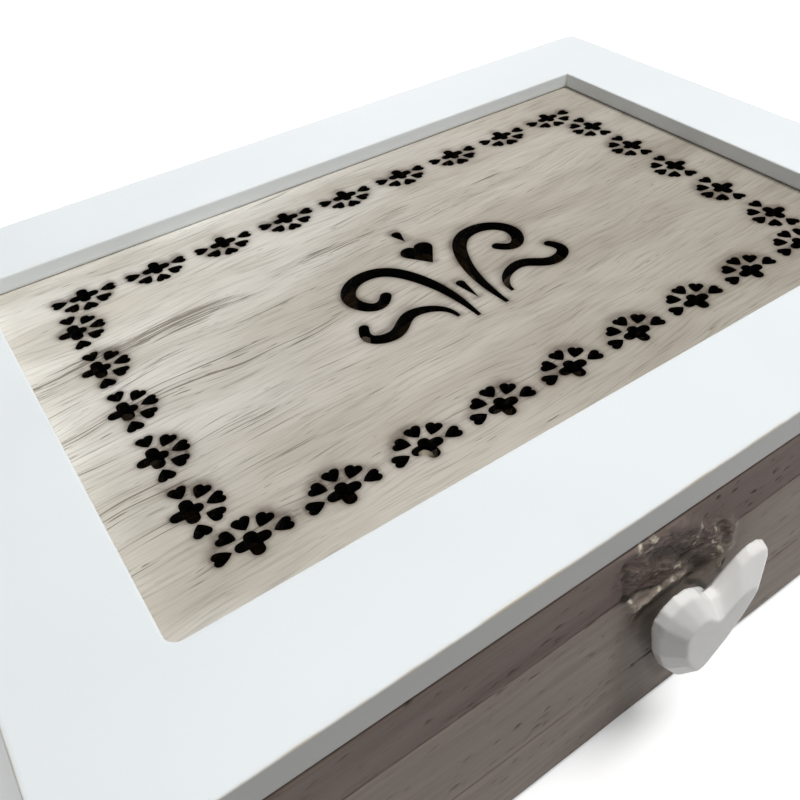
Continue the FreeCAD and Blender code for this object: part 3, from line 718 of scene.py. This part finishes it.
def fretwork_outlines(fret):
    """Every cut-out of the panel, anticlockwise, in millimetres from the panel's middle."""
    heart = heart_outline(fret.heart_width, fret.heart_length, fret.heart_lobe, 7, fret.heart_bulge)
    flower = [eye_outline((fret.eye_side, fret.eye_head, fret.eye_side, fret.eye_tail), fret.eye_arm, 9)]
    reaches = (fret.side_reach, fret.slant_reach, fret.top_reach, fret.slant_reach, fret.side_reach)
    for index, reach in enumerate(reaches):
        angle = math.radians(45 * index)
        tip = reach - fret.heart_middle
        flower.append(turned(heart, 45 * index - 90, tip * math.cos(angle), tip * math.sin(angle)))
    places = []
    for index in range(fret.row_flowers):
        x = (index - (fret.row_flowers - 1) / 2) * fret.row_pitch
        places += [(0, x, -fret.row_distance), (180, x, fret.row_distance)]
    for index in range(fret.column_flowers):
        y = (index - (fret.column_flowers - 1) / 2) * fret.column_pitch
        places += [(-90, -fret.column_distance, y), (90, fret.column_distance, y)]
    wider = (fret.stretch_x, fret.stretch_y)
    outlines = [turned(part, degrees) * wider + (x, y) for degrees, x, y in places for part in flower]
    outlines.append(heart_outline(*CENTRE_HEART, 20) + (0, CENTRE_HEART_TIP))
    outlines += [drop_outline(long, radius, 18) + (0, point) for point, long, radius in DROPS]
    for stroke in (stroke_outline(*stroke) for stroke in STROKES):
        outlines += [stroke, (stroke * (-1, 1))[::-1]]
    return outlines


# Distances from the cuts at which the panel's mesh has points for the soot
SOOT_RINGS = (0.3, 0.65, 1.1, 1.9, 3.0)
# Spacing of its points farther off, and how far they stay from the panel's edge
PLAIN_SPACING = 5.0
PLAIN_MARGIN = 3.0
# How much sharper the panel's corners are than the top frame's
PANEL_CORNER_LESS = 0.8


def points_beside(outlines, nearest, distances):
    """Points at set distances outside every second point of the outlines, clear of other outlines."""
    beside = []
    for outline in outlines:
        along = np.roll(outline, -1, axis=0) - np.roll(outline, 1, axis=0)
        away = np.column_stack((along[:, 1], -along[:, 0]))
        away /= np.maximum(np.linalg.norm(away, axis=1), 1e-9)[:, None]
        for distance in distances:
            for x, y in (outline + away * distance)[::2]:
                if nearest.find((x, y, 0))[2] > 0.85 * distance:
                    beside.append((x, y))
    return beside


def soot_amount(x, y, nearest, reach):
    """How far soot and heat have browned one place of the panel."""
    # Soot has drifted up to 2 mm towards the back, more beside some cuts than others
    drift = min(max(0.5 + 1.6 * wavering(x, y, 9.0, 5.0, 13.0), 0), 1)
    behind = nearest.find((x, y - 2.2 * reach, 0))[2]
    soot = 0.62 * drift * math.exp(-behind / (2.0 * reach))
    return min(0.55 * math.exp(-nearest.find((x, y, 0))[2] / (1.3 * reach)) + soot, 1)


def build_fret_panel(sizes, fret, materials):
    """Veneered panel pierced by the fretwork, with its burnt cut walls."""
    outlines = fretwork_outlines(fret)
    half = (PANEL_HIGH - PANEL_LOW) / 2
    middle = (PANEL_HIGH + PANEL_LOW) / 2
    edge_points = np.vstack(outlines)
    nearest = kdtree.KDTree(len(edge_points))
    for index, (x, y) in enumerate(edge_points):
        nearest.insert((x, y, 0), index)
    nearest.balance()
    extra = points_beside(outlines, nearest, SOOT_RINGS)
    for x in np.arange(-half.x + PLAIN_MARGIN, half.x - PLAIN_MARGIN, PLAIN_SPACING):
        for y in np.arange(-half.y + PLAIN_MARGIN, half.y - PLAIN_MARGIN, PLAIN_SPACING):
            if nearest.find((x, y, 0))[2] > SOOT_RINGS[-1]:
                extra.append((x, y))
    loops = [np.array(rounded_ring(half.x, half.y, sizes.corner_radius - PANEL_CORNER_LESS))] + outlines
    starts = np.cumsum([0] + [len(loop) for loop in loops])
    rings = [list(range(first, last)) for first, last in zip(starts, starts[1:])]
    flat = [Vector(point) for point in np.vstack(loops + [np.array(extra)])]
    flat, _, triangles, sources, _, owners = geometry.delaunay_2d_cdt(flat, [], rings, 1, 1e-4)
    kept = [triangle for triangle, owner in zip(triangles, owners) if list(owner) == [0]]
    place = {source: index for index, merged in enumerate(sources) for source in merged}
    level = len(flat)
    faces = [tuple(triangle) for triangle in kept]
    faces += [tuple(level + index for index in reversed(triangle)) for triangle in kept]
    outer_walls = len(faces) + len(rings[0])
    for ring in rings:
        around = [place[index] for index in ring]
        for here, onward in zip(around, around[1:] + around[:1]):
            faces.append((here, level + here, level + onward, onward))
    points = [
        (middle.x + x, middle.y + y, height) for height in (PANEL_HIGH.z, PANEL_LOW.z) for x, y in flat
    ]
    made = mesh_object("fretwork_panel", points, faces, materials)
    for polygon in made.data.polygons[outer_walls:]:
        polygon.material_index = 1
    scorch = [soot_amount(x, y, nearest, sizes.scorch_reach) for x, y in flat]
    mark_points(made, scorch=scorch * 2)
    mend_normals(made)
    return made


def mend_normals(made):
    """Turn every face outwards and drop points that no face uses."""
    work = bmesh.new()
    work.from_mesh(made.data)
    loose = [point for point in work.verts if not point.link_faces]
    bmesh.ops.delete(work, geom=loose, context="VERTS")
    bmesh.ops.recalc_face_normals(work, faces=work.faces)
    work.to_mesh(made.data)
    work.free()


# Folds and troughs of the knot: points across and up the front in millimetres, half width and rise
KNOT_FOLDS = (
    (((-19.4, 60.7), (-16.5, 55.1), (-13.3, 55.4), (-10.4, 56.1), (-6.0, 56.2), (-2.9, 55.2)), 1.0, 0.9),
    (((-19.7, 68.9), (-15.1, 66.8), (-10.4, 63.6), (-5.5, 60.7), (-2.9, 58.5)), 1.5, 0.8),
    (((-22.0, 71.6), (-17.0, 69.6), (-13.3, 67.6)), 0.8, 0.5),
    (((-23.3, 78.6), (-19.5, 77.0), (-15.6, 76.0), (-10.4, 76.2)), 1.6, 0.6),
    (((-9.6, 76.0), (-3.9, 71.9), (0.3, 67.2), (3.8, 62.2), (6.4, 57.3), (8.2, 53.4)), 1.7, 0.75),
    (((6.9, 56.5), (8.4, 53.9), (9.6, 51.0), (10.7, 46.2)), 0.45, 0.5),
    (((7.4, 64.7), (10.4, 59.7), (12.1, 53.4)), 1.2, 0.5),
    (((-13.7, 69.4), (-9.7, 67.7), (-5.7, 63.9), (-2.3, 59.9), (0.8, 56.0), (3.4, 51.8)), 2.3, -0.95),
    (((-22.5, 73.9), (-22.2, 69.9), (-20.8, 65.6), (-20.5, 61.6)), 0.8, -0.7),
    (((-20.5, 60.7), (-16.7, 60.3), (-13.1, 58.4), (-9.9, 56.8)), 0.7, -0.8),
    (((-14.2, 49.6), (-10.0, 50.2), (-5.0, 50.6), (0.0, 50.8)), 2.0, -0.9),
)
# The knot lies along this run, as far to either side as its width says
KNOT_RUN = ((-17.5, 71.0), (-10.0, 66.0), (0.0, 62.0), (4.0, 58.0))
KNOT_WIDTH = 7.0
# Painted glints on the knot's crests: points across and up the front, and half width
GLINT_CRESTS = (
    (((-19.6, 78.4), (-19.7, 77.0), (-19.3, 75.4)), 0.55),
    (((-16.5, 77.6), (-15.6, 76.8)), 0.6),
    (((-17.7, 74.4), (-16.2, 74.6)), 0.55),
    (((-16.6, 54.9), (-12.4, 55.2), (-10.6, 56.2), (-8.2, 55.2)), 0.55),
    (((-8.2, 55.2), (-6.6, 56.6), (-5.2, 55.4), (-2.7, 54.8)), 0.75),
    (((-19.1, 60.2), (-17.7, 57.1), (-16.7, 55.1)), 0.35),
    (((-6.8, 60.8), (-5.9, 60.2), (-4.2, 59.5)), 0.35),
    (((-12.6, 63.4), (-11.6, 62.8)), 0.3),
    (((-2.5, 71.5), (-2.0, 69.5)), 0.3),
    (((-3.1, 67.8), (-0.7, 65.8), (-1.6, 63.8)), 0.3),
    (((3.4, 65.8), (4.3, 64.4)), 0.3),
    (((4.1, 61.1), (5.3, 59.5)), 0.35),
    (((6.5, 57.0), (8.0, 54.4), (9.1, 51.6), (10.3, 46.7)), 0.4),
    (((6.0, 54.7), (7.4, 51.7)), 0.42),
    (((11.4, 53.7), (13.1, 51.1)), 1.0),
)
# Painted shadow of the knob on the front beside and below it: points across and up the front, half width and
# strength
KNOB_SHADOW_MARKS = (
    (((2.0, 13.0), (-3.0, 22.0), (-9.7, 40.0), (-10.4, 49.6), (0.0, 49.4)), 3.6, 0.55),
    (((-9.0, 6.0), (-13.0, 30.0), (-15.0, 50.0)), 5.0, 0.25),
    (((-3.0, 1.8), (16.0, 4.6)), 3.0, 0.5),
    (((0.0, 49.4), (4.0, 46.0), (8.8, 38.6)), 1.0, 0.8),
    (((11.0, 44.6), (13.4, 41.6), (15.5, 40.4)), 0.8, 0.6),
)
# Dark patches of the front, and pale ones below nought: middle, spread and strength
DARK_PATCHES = (
    ((-6.0, 66.0), (20.0, 10.0), 0.5),
    # Painted light on the raised flap
    ((-12.0, 57.4), (5.5, 2.2), -0.7),
    # Painted light on the ridge right of the hollow
    ((3.0, 61.0), (6.0, 7.0), -0.5),
    # Darker wood left of the knob, deepened with painted shadow
    ((-17.0, 46.0), (5.0, 14.0), 0.45),
    ((-16.0, 7.0), (24.0, 7.0), 0.4),
    ((30.0, 68.0), (26.0, 9.0), 0.3),
    ((-34.0, 64.5), (30.0, 3.4), 0.35),
    ((78.0, 22.0), (26.0, 7.0), 0.3),
    ((-98.0, 40.0), (18.0, 6.0), 0.2),
)
# How quickly the knot's gnarled grain dies out at its edge, in millimetres
KNOT_FADE = 3.0
# The front's mesh is finest over this stretch of its length, and above this height, where the knot lies
KNOT_SPAN = (-28.0, 20.0)
KNOT_FOOT = 46.0


def wavering(x, z, reach_x, reach_z, seed):
    """Smooth noise between about -1 and 1 with its own reach along and across the grain."""
    return noise.noise(Vector((x / reach_x, z / reach_z, seed)))


def distance_to_line(x, z, points):
    """Shortest distance from a place to a line of straight runs."""
    nearest = 1e9
    for (x0, z0), (x1, z1) in zip(points, points[1:]):
        run_x, run_z = x1 - x0, z1 - z0
        share = ((x - x0) * run_x + (z - z0) * run_z) / (run_x ** 2 + run_z ** 2)
        share = min(max(share, 0), 1)
        nearest = min(nearest, math.hypot(x - x0 - share * run_x, z - z0 - share * run_z))
    return nearest


def ridge(x, z, points, half_width, sharpness=2):
    """Soft ridge of height 1 along a line."""
    return math.exp(-(distance_to_line(x, z, points) / half_width) ** sharpness)


def hump(x, z, middle, spread):
    """Soft hump of height 1 over an oval."""
    return math.exp(-(((x - middle[0]) / spread[0]) ** 2 + ((z - middle[1]) / spread[1]) ** 2))


def knot_relief(x, z, knot_height):
    """Height of the gnarled knot at one place of the front, and how sunk, how glinting and how gnarled it
    is; its glints are painted highlights.
    """
    wander_x = x + 0.7 * wavering(x, z, 1.8, 1.8, 3.0)
    wander_z = z + 0.7 * wavering(x, z, 1.8, 1.8, 9.0)
    height = 0.0
    sunk = 0.0
    for points, half_width, rise in KNOT_FOLDS:
        fold = rise * ridge(wander_x, wander_z, points, half_width)
        height += fold
        sunk = max(sunk, -fold)
    # Inside its edge the knot is gnarled all over, and the wood beyond it stays smooth
    inside = KNOT_WIDTH - distance_to_line(wander_x, wander_z, KNOT_RUN)
    gnarl = min(max(0.5 + inside / KNOT_FADE, 0), 1)
    down, over = 0.79 * x - 0.62 * z, 0.62 * x + 0.79 * z
    crease = (1 - abs(wavering(down, over, 4.2, 1.1, 21.0))) ** 9
    height += gnarl * (0.25 * wavering(down, over, 5.0, 1.4, 35.0) - 0.3 * crease)
    sunk = max(sunk, 0.5 * gnarl * crease)
    glint = max(ridge(wander_x, wander_z, *crest) for crest in GLINT_CRESTS)
    return height * knot_height, sunk, glint, gnarl * (1 - 0.5 * sunk)


def crack_depth(x, z, height, seed, width, depth):
    """Depth of a wandering crack that opens and closes along the grain."""
    path = height + 0.8 * wavering(x, 0, 38, 1, seed) + 0.25 * wavering(x, 0, 5, 1, seed + 4)
    opened = 0.62 + 0.7 * wavering(x, 0, 9, 1, seed + 8)
    spread = width / 2 * (0.75 + 0.5 * wavering(x, 0, 3, 1, seed + 12))
    return depth * min(max(opened, 0.12), 1) * math.exp(-((z - path) / spread) ** 2)


def front_relief(x, z, sizes):
    """Height in millimetres, darkness, dark bottoms with painted shade, painted glints and gnarl at one
    place of the front.
    """
    height = 0.10 * wavering(x, z, 26, 2.2, 1.0) + 0.05 * wavering(x, z, 9, 0.9, 5.0)
    upper = FRAME_HIGH.z - sizes.upper_line
    lower = FRAME_HIGH.z - sizes.lower_line
    cracks = crack_depth(x, z, upper, 31.0, sizes.line_width, sizes.line_depth)
    cracks += crack_depth(x, z, lower, 57.0, sizes.line_width, sizes.line_depth)
    pits = max(0.0, wavering(x, z, 2.6, 1.1, 41.0) - 0.42) * max(0.0, 0.6 + wavering(x, z, 30, 9, 47.0))
    scratches = max(0.0, wavering(x, z, 6.5, 0.5, 71.0) - 0.45) * hump(0, z, (0, upper + 4), (1, 5))
    height -= cracks + 1.6 * pits + 0.5 * scratches
    dark = 0.62 if z > upper + 0.6 * wavering(x, 0, 20, 1, 31.0) else 0.0
    for middle, spread, strength in DARK_PATCHES:
        dark += strength * hump(x, z, middle, spread)
    dark += 0.25 * wavering(x, z, 34, 5, 83.0)
    knot, sunk, glint, gnarl = knot_relief(x, z, sizes.knot_height)
    # Painted shadow under the end of the knot's flap, at the upper crack
    flap_shadow = hump(x, z, (-19.5, upper - 0.3), (3.2, 0.8))
    # Dark bottoms of cracks, pits, scratches and knot troughs, partly painted shade
    pit_and_shade = 1.3 * cracks + 3.0 * pits + 2.5 * scratches + 0.85 * sunk + 0.9 * flap_shadow
    # Painted shadow of the knob
    for points, half_width, strength in KNOB_SHADOW_MARKS:
        pit_and_shade = max(pit_and_shade, strength * ridge(x, z, points, half_width, sharpness=4))
    # Painted shade along the bottom edge of the front
    pit_and_shade = max(pit_and_shade, 0.8 * math.exp(-((z - FRONT_LOW.z) / 0.9) ** 2))
    return height + knot, min(max(dark, 0), 1), min(pit_and_shade, 1), glint, gnarl


def graded_steps(limits):
    """Values that run through stretches of (start, end, step)."""
    values = []
    for start, end, step in limits:
        values += list(np.linspace(start, end, max(1, round((end - start) / step)), endpoint=False))
    return values + [limits[-1][1]]


def front_outline(sizes):
    """Plan of the front's face from its left back edge to its right back edge, with outward headings."""
    low, high = FRONT_LOW, FRONT_HIGH
    radius = sizes.corner_radius
    fine = sizes.front_step
    left = [(low.x, y, -1.0, 0.0) for y in np.linspace(high.y, low.y + radius, 6, endpoint=False)]
    for turn in np.radians(np.linspace(0, 90, 9)):
        sine, cosine = math.sin(turn), math.cos(turn)
        left.append((low.x + radius * (1 - cosine), low.y + radius * (1 - sine), -cosine, -sine))
    first, last = KNOT_SPAN
    stretches = (
        (low.x + radius, first, 1.8 * fine), (first, last, fine / 2), (last, high.x - radius, 1.8 * fine),
    )
    face = [(x, low.y, 0.0, -1.0) for x in graded_steps(stretches)[1:-1]]
    return left + face + [(-x, y, -across, along) for x, y, across, along in reversed(left)]


def build_drawer_front(sizes, material):
    """Thick board with worn edges, two long cracks, pits and a gnarled knot, cut as one closed mesh."""
    outline = front_outline(sizes)
    low, high, back = FRONT_LOW.z, FRONT_HIGH.z, FRONT_HIGH.y
    fine = sizes.front_step
    edge = sizes.front_edge
    edge_rows = [edge * (1 - math.cos(turn)) for turn in (0, 0.4, 0.8, 1.2)]
    rows = [low + rise for rise in edge_rows]
    rows += graded_steps(((low + edge, KNOT_FOOT, fine), (KNOT_FOOT, high - edge, fine / 2)))
    rows += [high - rise for rise in reversed(edge_rows)]
    points, looks = [], []
    for z in rows:
        drop = max(edge - (z - low), edge - (high - z), 0)
        inset = edge - math.sqrt(max(edge ** 2 - drop ** 2, 0))
        for x, y, across, along in outline:
            height, *look = front_relief(x + 0.8 * (y - FRONT_LOW.y) * across, z, sizes)
            # The relief dies out at the rounded edges and over the last 4 mm before the back
            push = height * min(1, (back - y) / 4) * (1 - min(1, drop / edge) ** 2) - inset
            points.append((x + across * push, y + along * push, z))
            looks.append(look)
    count = len(outline)
    starts = range(0, len(points), count)
    faces = [
        (here, here + 1, here + 1 + count, here + count)
        for row in starts[:-1] for here in range(row, row + count - 1)
    ]
    faces += [tuple(range(count))[::-1], tuple(range(starts[-1], starts[-1] + count))]
    faces.append((*starts, *(start + count - 1 for start in reversed(starts))))
    made = mesh_object("rustic_front", points, faces, [material], sharp_angle=60)
    mark_points(made, **dict(zip(FRONT_LOOKS, zip(*looks))))
    mend_normals(made)
    return made


def cover(made, material):
    """Give a CAD mesh its one material, and weld its facets together."""
    made.data.materials.clear()
    made.data.materials.append(material)
    made.modifiers.new("weld", "WELD").merge_threshold = 1e-6


def soften_knob(sizes, material):
    """Knob with its facets melted together by the glaze."""
    made = frame["nodes"]["knob_heart"].copy()
    made.data = made.data.copy()
    made.name = "glazed_heart"
    for mark in list(made.keys()):
        del made[mark]
    made.parent = None
    bpy.context.scene.collection.objects.link(made)
    cover(made, material)
    melt = made.modifiers.new("melt", "REMESH")
    melt.mode = "VOXEL"
    melt.voxel_size = sizes.glaze_step * MM
    melt.use_smooth_shade = True
    smooth = made.modifiers.new("smooth", "SMOOTH")
    smooth.factor = 0.5
    smooth.iterations = 8
    return made


def finish_board(name, material, bevel_width):
    """Give a plain board its material and fine bevelled edges, their width in millimetres."""
    board = frame["nodes"][name]
    cover(board, material)
    bevel = board.modifiers.new("bevel", "BEVEL")
    bevel.width = bevel_width * MM
    bevel.segments = 2
    bevel.limit_method = "ANGLE"
    bevel.angle_limit = math.radians(40)
    board.modifiers.new("normals", "WEIGHTED_NORMAL").keep_sharp = False


def stand_in(made, node):
    """Let a piece ride with its CAD node's body in that node's place."""
    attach(made, frame["nodes"][node]["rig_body"])
    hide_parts(node)


def seen_share(tree):
    """1 for rays from the camera, mirrors and glass, 0 for the light that falls on things."""
    path = add_node(tree, "LightPath")
    share = path.outputs["Is Camera Ray"]
    for ray in ("Is Glossy Ray", "Is Transmission Ray"):
        share = add_node(tree, "Math", {0: share, 1: path.outputs[ray]}, operation="MAXIMUM")
    return share


def floor_material():
    """White painted studio floor; off camera it throws back less light, as a small sweep would."""
    material, tree, place = new_material("matt_white_sweep")
    cloud = grain(tree, place, 400, 2.0)
    white = add_node(tree, "ValToRGB", {"Fac": cloud}, ((0.3, 0.955), (0.7, 0.97)))
    seen = seen_share(tree)
    # The sweep runs out into plain white some 0.7 m from the chest
    away = add_node(tree, "VectorMath", {0: place}, operation="LENGTH")
    span = {"Value": away, "From Min": GLOW_START, "From Max": GLOW_FULL, "To Min": 0.28, "To Max": 1.0}
    glow = add_node(tree, "MapRange", span)
    inputs = {
        "Base Color": coats(tree, linear("#8B8B8B"), ((seen, white),)),
        "Roughness": 0.9,
        "Emission Color": (1, 1, 1),
        "Emission Strength": add_node(tree, "Math", {0: seen, 1: glow}, operation="MULTIPLY"),
    }
    return finish_material(material, inputs)


def set_world():
    """White studio to the camera, dim even light on things."""
    world = bpy.data.worlds.new("studio")
    world.use_nodes = True
    tree = world.node_tree
    tree.nodes.clear()
    level = add_node(tree, "MapRange", {"Value": seen_share(tree), "To Min": ROOM_LIGHT, "To Max": 1.0})
    light = add_node(tree, "Background", {"Color": (1, 1, 1), "Strength": level})
    add_node(tree, "OutputWorld", {"Surface": light})
    bpy.context.scene.world = world


def add_lamp(name, place, aim, side, power):
    """Square soft box that points at a place."""
    lamp = bpy.data.lights.new(name, "AREA")
    lamp.shape = "SQUARE"
    lamp.size = side
    lamp.energy = power
    made = bpy.data.objects.new(name, lamp)
    made.location = place
    made.rotation_euler = (Vector(aim) - Vector(place)).to_track_quat("-Z", "Y").to_euler()
    bpy.context.scene.collection.objects.link(made)


def add_camera():
    """Camera above the front's left, looking down and to the right across the top."""
    lens = bpy.data.cameras.new("camera")
    lens.sensor_width = SENSOR_WIDTH
    lens.lens = FOCAL_PIXELS / PICTURE_WIDTH * SENSOR_WIDTH
    lens.clip_start = 0.01
    made = bpy.data.objects.new("camera", lens)
    turn = Matrix((CAMERA_RIGHT, -CAMERA_DOWN, -CAMERA_FORWARD)).transposed().to_4x4()
    made.matrix_world = Matrix.Translation(CAMERA_PLACE) @ turn
    bpy.context.scene.collection.objects.link(made)
    bpy.context.scene.camera = made


def chosen(context):
    """Sizes and fretwork of the scene in millimetres, and its colours."""
    scene = context.scene
    sizes = in_millimetres(scene.tea_chest_sizes)
    return sizes, in_millimetres(scene.tea_chest_fretwork), scene.tea_chest_colours


class TEACHEST_OT_boards(bpy.types.Operator):
    """Paint the side, back and base boards"""

    bl_idname = "teachest.boards"
    bl_label = "Painted boards"

    def execute(self, context):
        sizes, _, colours = chosen(context)
        paint = painted_board_material(colours)
        for name in PAINTED_BOARDS:
            finish_board(name, paint, sizes.board_edge)
        return {"FINISHED"}


class TEACHEST_OT_top(bpy.types.Operator):
    """Build the white top frame with its rounded window and rubbed edges, in the boards' paint"""

    bl_idname = "teachest.top"
    bl_label = "Top frame"

    def execute(self, context):
        sizes, _, _ = chosen(context)
        made = build_top_frame(sizes, bpy.data.materials["satin_paint"])
        stand_in(made, "top_frame")
        return {"FINISHED"}


class TEACHEST_OT_panel(bpy.types.Operator):
    """Build the veneered panel with its fretwork of flowers and scrolls"""

    bl_idname = "teachest.panel"
    bl_label = "Fretwork panel"

    def execute(self, context):
        sizes, fret, colours = chosen(context)
        made = build_fret_panel(sizes, fret, [veneer_material(colours), char_material(colours)])
        stand_in(made, "fret_panel")
        return {"FINISHED"}


class TEACHEST_OT_front(bpy.types.Operator):
    """Build the rustic drawer front with its cracks and knot"""

    bl_idname = "teachest.front"
    bl_label = "Drawer front"

    def execute(self, context):
        sizes, _, colours = chosen(context)
        made = build_drawer_front(sizes, rustic_wood_material(colours))
        stand_in(made, "drawer_front")
        return {"FINISHED"}


class TEACHEST_OT_knob(bpy.types.Operator):
    """Glaze the heart knob"""

    bl_idname = "teachest.knob"
    bl_label = "Heart knob"

    def execute(self, context):
        sizes, _, colours = chosen(context)
        made = soften_knob(sizes, glaze_material(colours))
        stand_in(made, "knob_heart")
        return {"FINISHED"}


class TEACHEST_OT_drawer(bpy.types.Operator):
    """Finish the boards and dividers of the drawer's box"""

    bl_idname = "teachest.drawer"
    bl_label = "Drawer box"

    def execute(self, context):
        sizes, _, colours = chosen(context)
        plywood = plywood_material(colours)
        for name in DRAWER_BOARDS:
            finish_board(name, plywood, sizes.board_edge)
        return {"FINISHED"}


class TEACHEST_OT_fixings(bpy.types.Operator):
    """Finish the felt pads, brads and the knob's screw, washer and bush"""

    bl_idname = "teachest.fixings"
    bl_label = "Pads and fixings"

    def execute(self, context):
        sizes, _, colours = chosen(context)
        felt = felt_material(colours)
        for name in FOOT_PADS:
            finish_board(name, felt, sizes.felt_round)
        zinc = metal_material("zinc_plated_steel", colours.zinc, 0.38)
        for name in STEEL_FIXINGS:
            finish_board(name, zinc, sizes.board_edge / 4)
        brass = metal_material("turned_brass", colours.brass, 0.3)
        finish_board("knob_insert", brass, sizes.board_edge / 4)
        return {"FINISHED"}


class TEACHEST_OT_stage(bpy.types.Operator):
    """Set the floor, soft boxes, pale surroundings and camera"""

    bl_idname = "teachest.stage"
    bl_label = "Stage"

    def execute(self, context):
        half = FLOOR_HALF
        corners = [(-half, -half, 0), (half, -half, 0), (half, half, 0), (-half, half, 0)]
        mesh_object("floor", corners, [(0, 1, 2, 3)], [floor_material()])
        set_world()
        for name, lamp in LAMPS.items():
            add_lamp(name, *lamp)
        add_camera()
        context.scene.view_settings.view_transform = "Standard"
        return {"FINISHED"}


class VIEW3D_PT_tea_chest(bpy.types.Panel):
    """Lists the finishes of the tea chest"""

    bl_label = "Tea chest"
    bl_idname = "VIEW3D_PT_tea_chest"
    bl_space_type = "VIEW_3D"
    bl_region_type = "UI"
    bl_category = "Tea chest"

    def draw(self, context):
        column = self.layout.column(align=True)
        for operator in OPERATORS:
            column.operator(operator.bl_idname)
        scene = context.scene
        for group in (scene.tea_chest_sizes, scene.tea_chest_fretwork, scene.tea_chest_colours):
            for name in type(group).__annotations__:
                self.layout.prop(group, name)


PROPERTY_GROUPS = (TeaChestSizes, TeaChestFretwork, TeaChestColours)
OPERATORS = (
    TEACHEST_OT_boards,
    TEACHEST_OT_top,
    TEACHEST_OT_panel,
    TEACHEST_OT_front,
    TEACHEST_OT_knob,
    TEACHEST_OT_drawer,
    TEACHEST_OT_fixings,
    TEACHEST_OT_stage,
)


def register():
    """Make the groups, operators and panel known to Blender."""
    for group in PROPERTY_GROUPS + OPERATORS + (VIEW3D_PT_tea_chest,):
        bpy.utils.register_class(group)
    bpy.types.Scene.tea_chest_sizes = PointerProperty(type=TeaChestSizes)
    bpy.types.Scene.tea_chest_fretwork = PointerProperty(type=TeaChestFretwork)
    bpy.types.Scene.tea_chest_colours = PointerProperty(type=TeaChestColours)


def unregister():
    """Undo register()."""
    del bpy.types.Scene.tea_chest_colours
    del bpy.types.Scene.tea_chest_fretwork
    del bpy.types.Scene.tea_chest_sizes
    for group in reversed(PROPERTY_GROUPS + OPERATORS + (VIEW3D_PT_tea_chest,)):
        bpy.utils.unregister_class(group)


def main():
    """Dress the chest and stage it."""
    register()
    for operator in OPERATORS:
        family, name = operator.bl_idname.split(".")
        getattr(getattr(bpy.ops, family), name)()


if __name__ == "__main__":
    main()
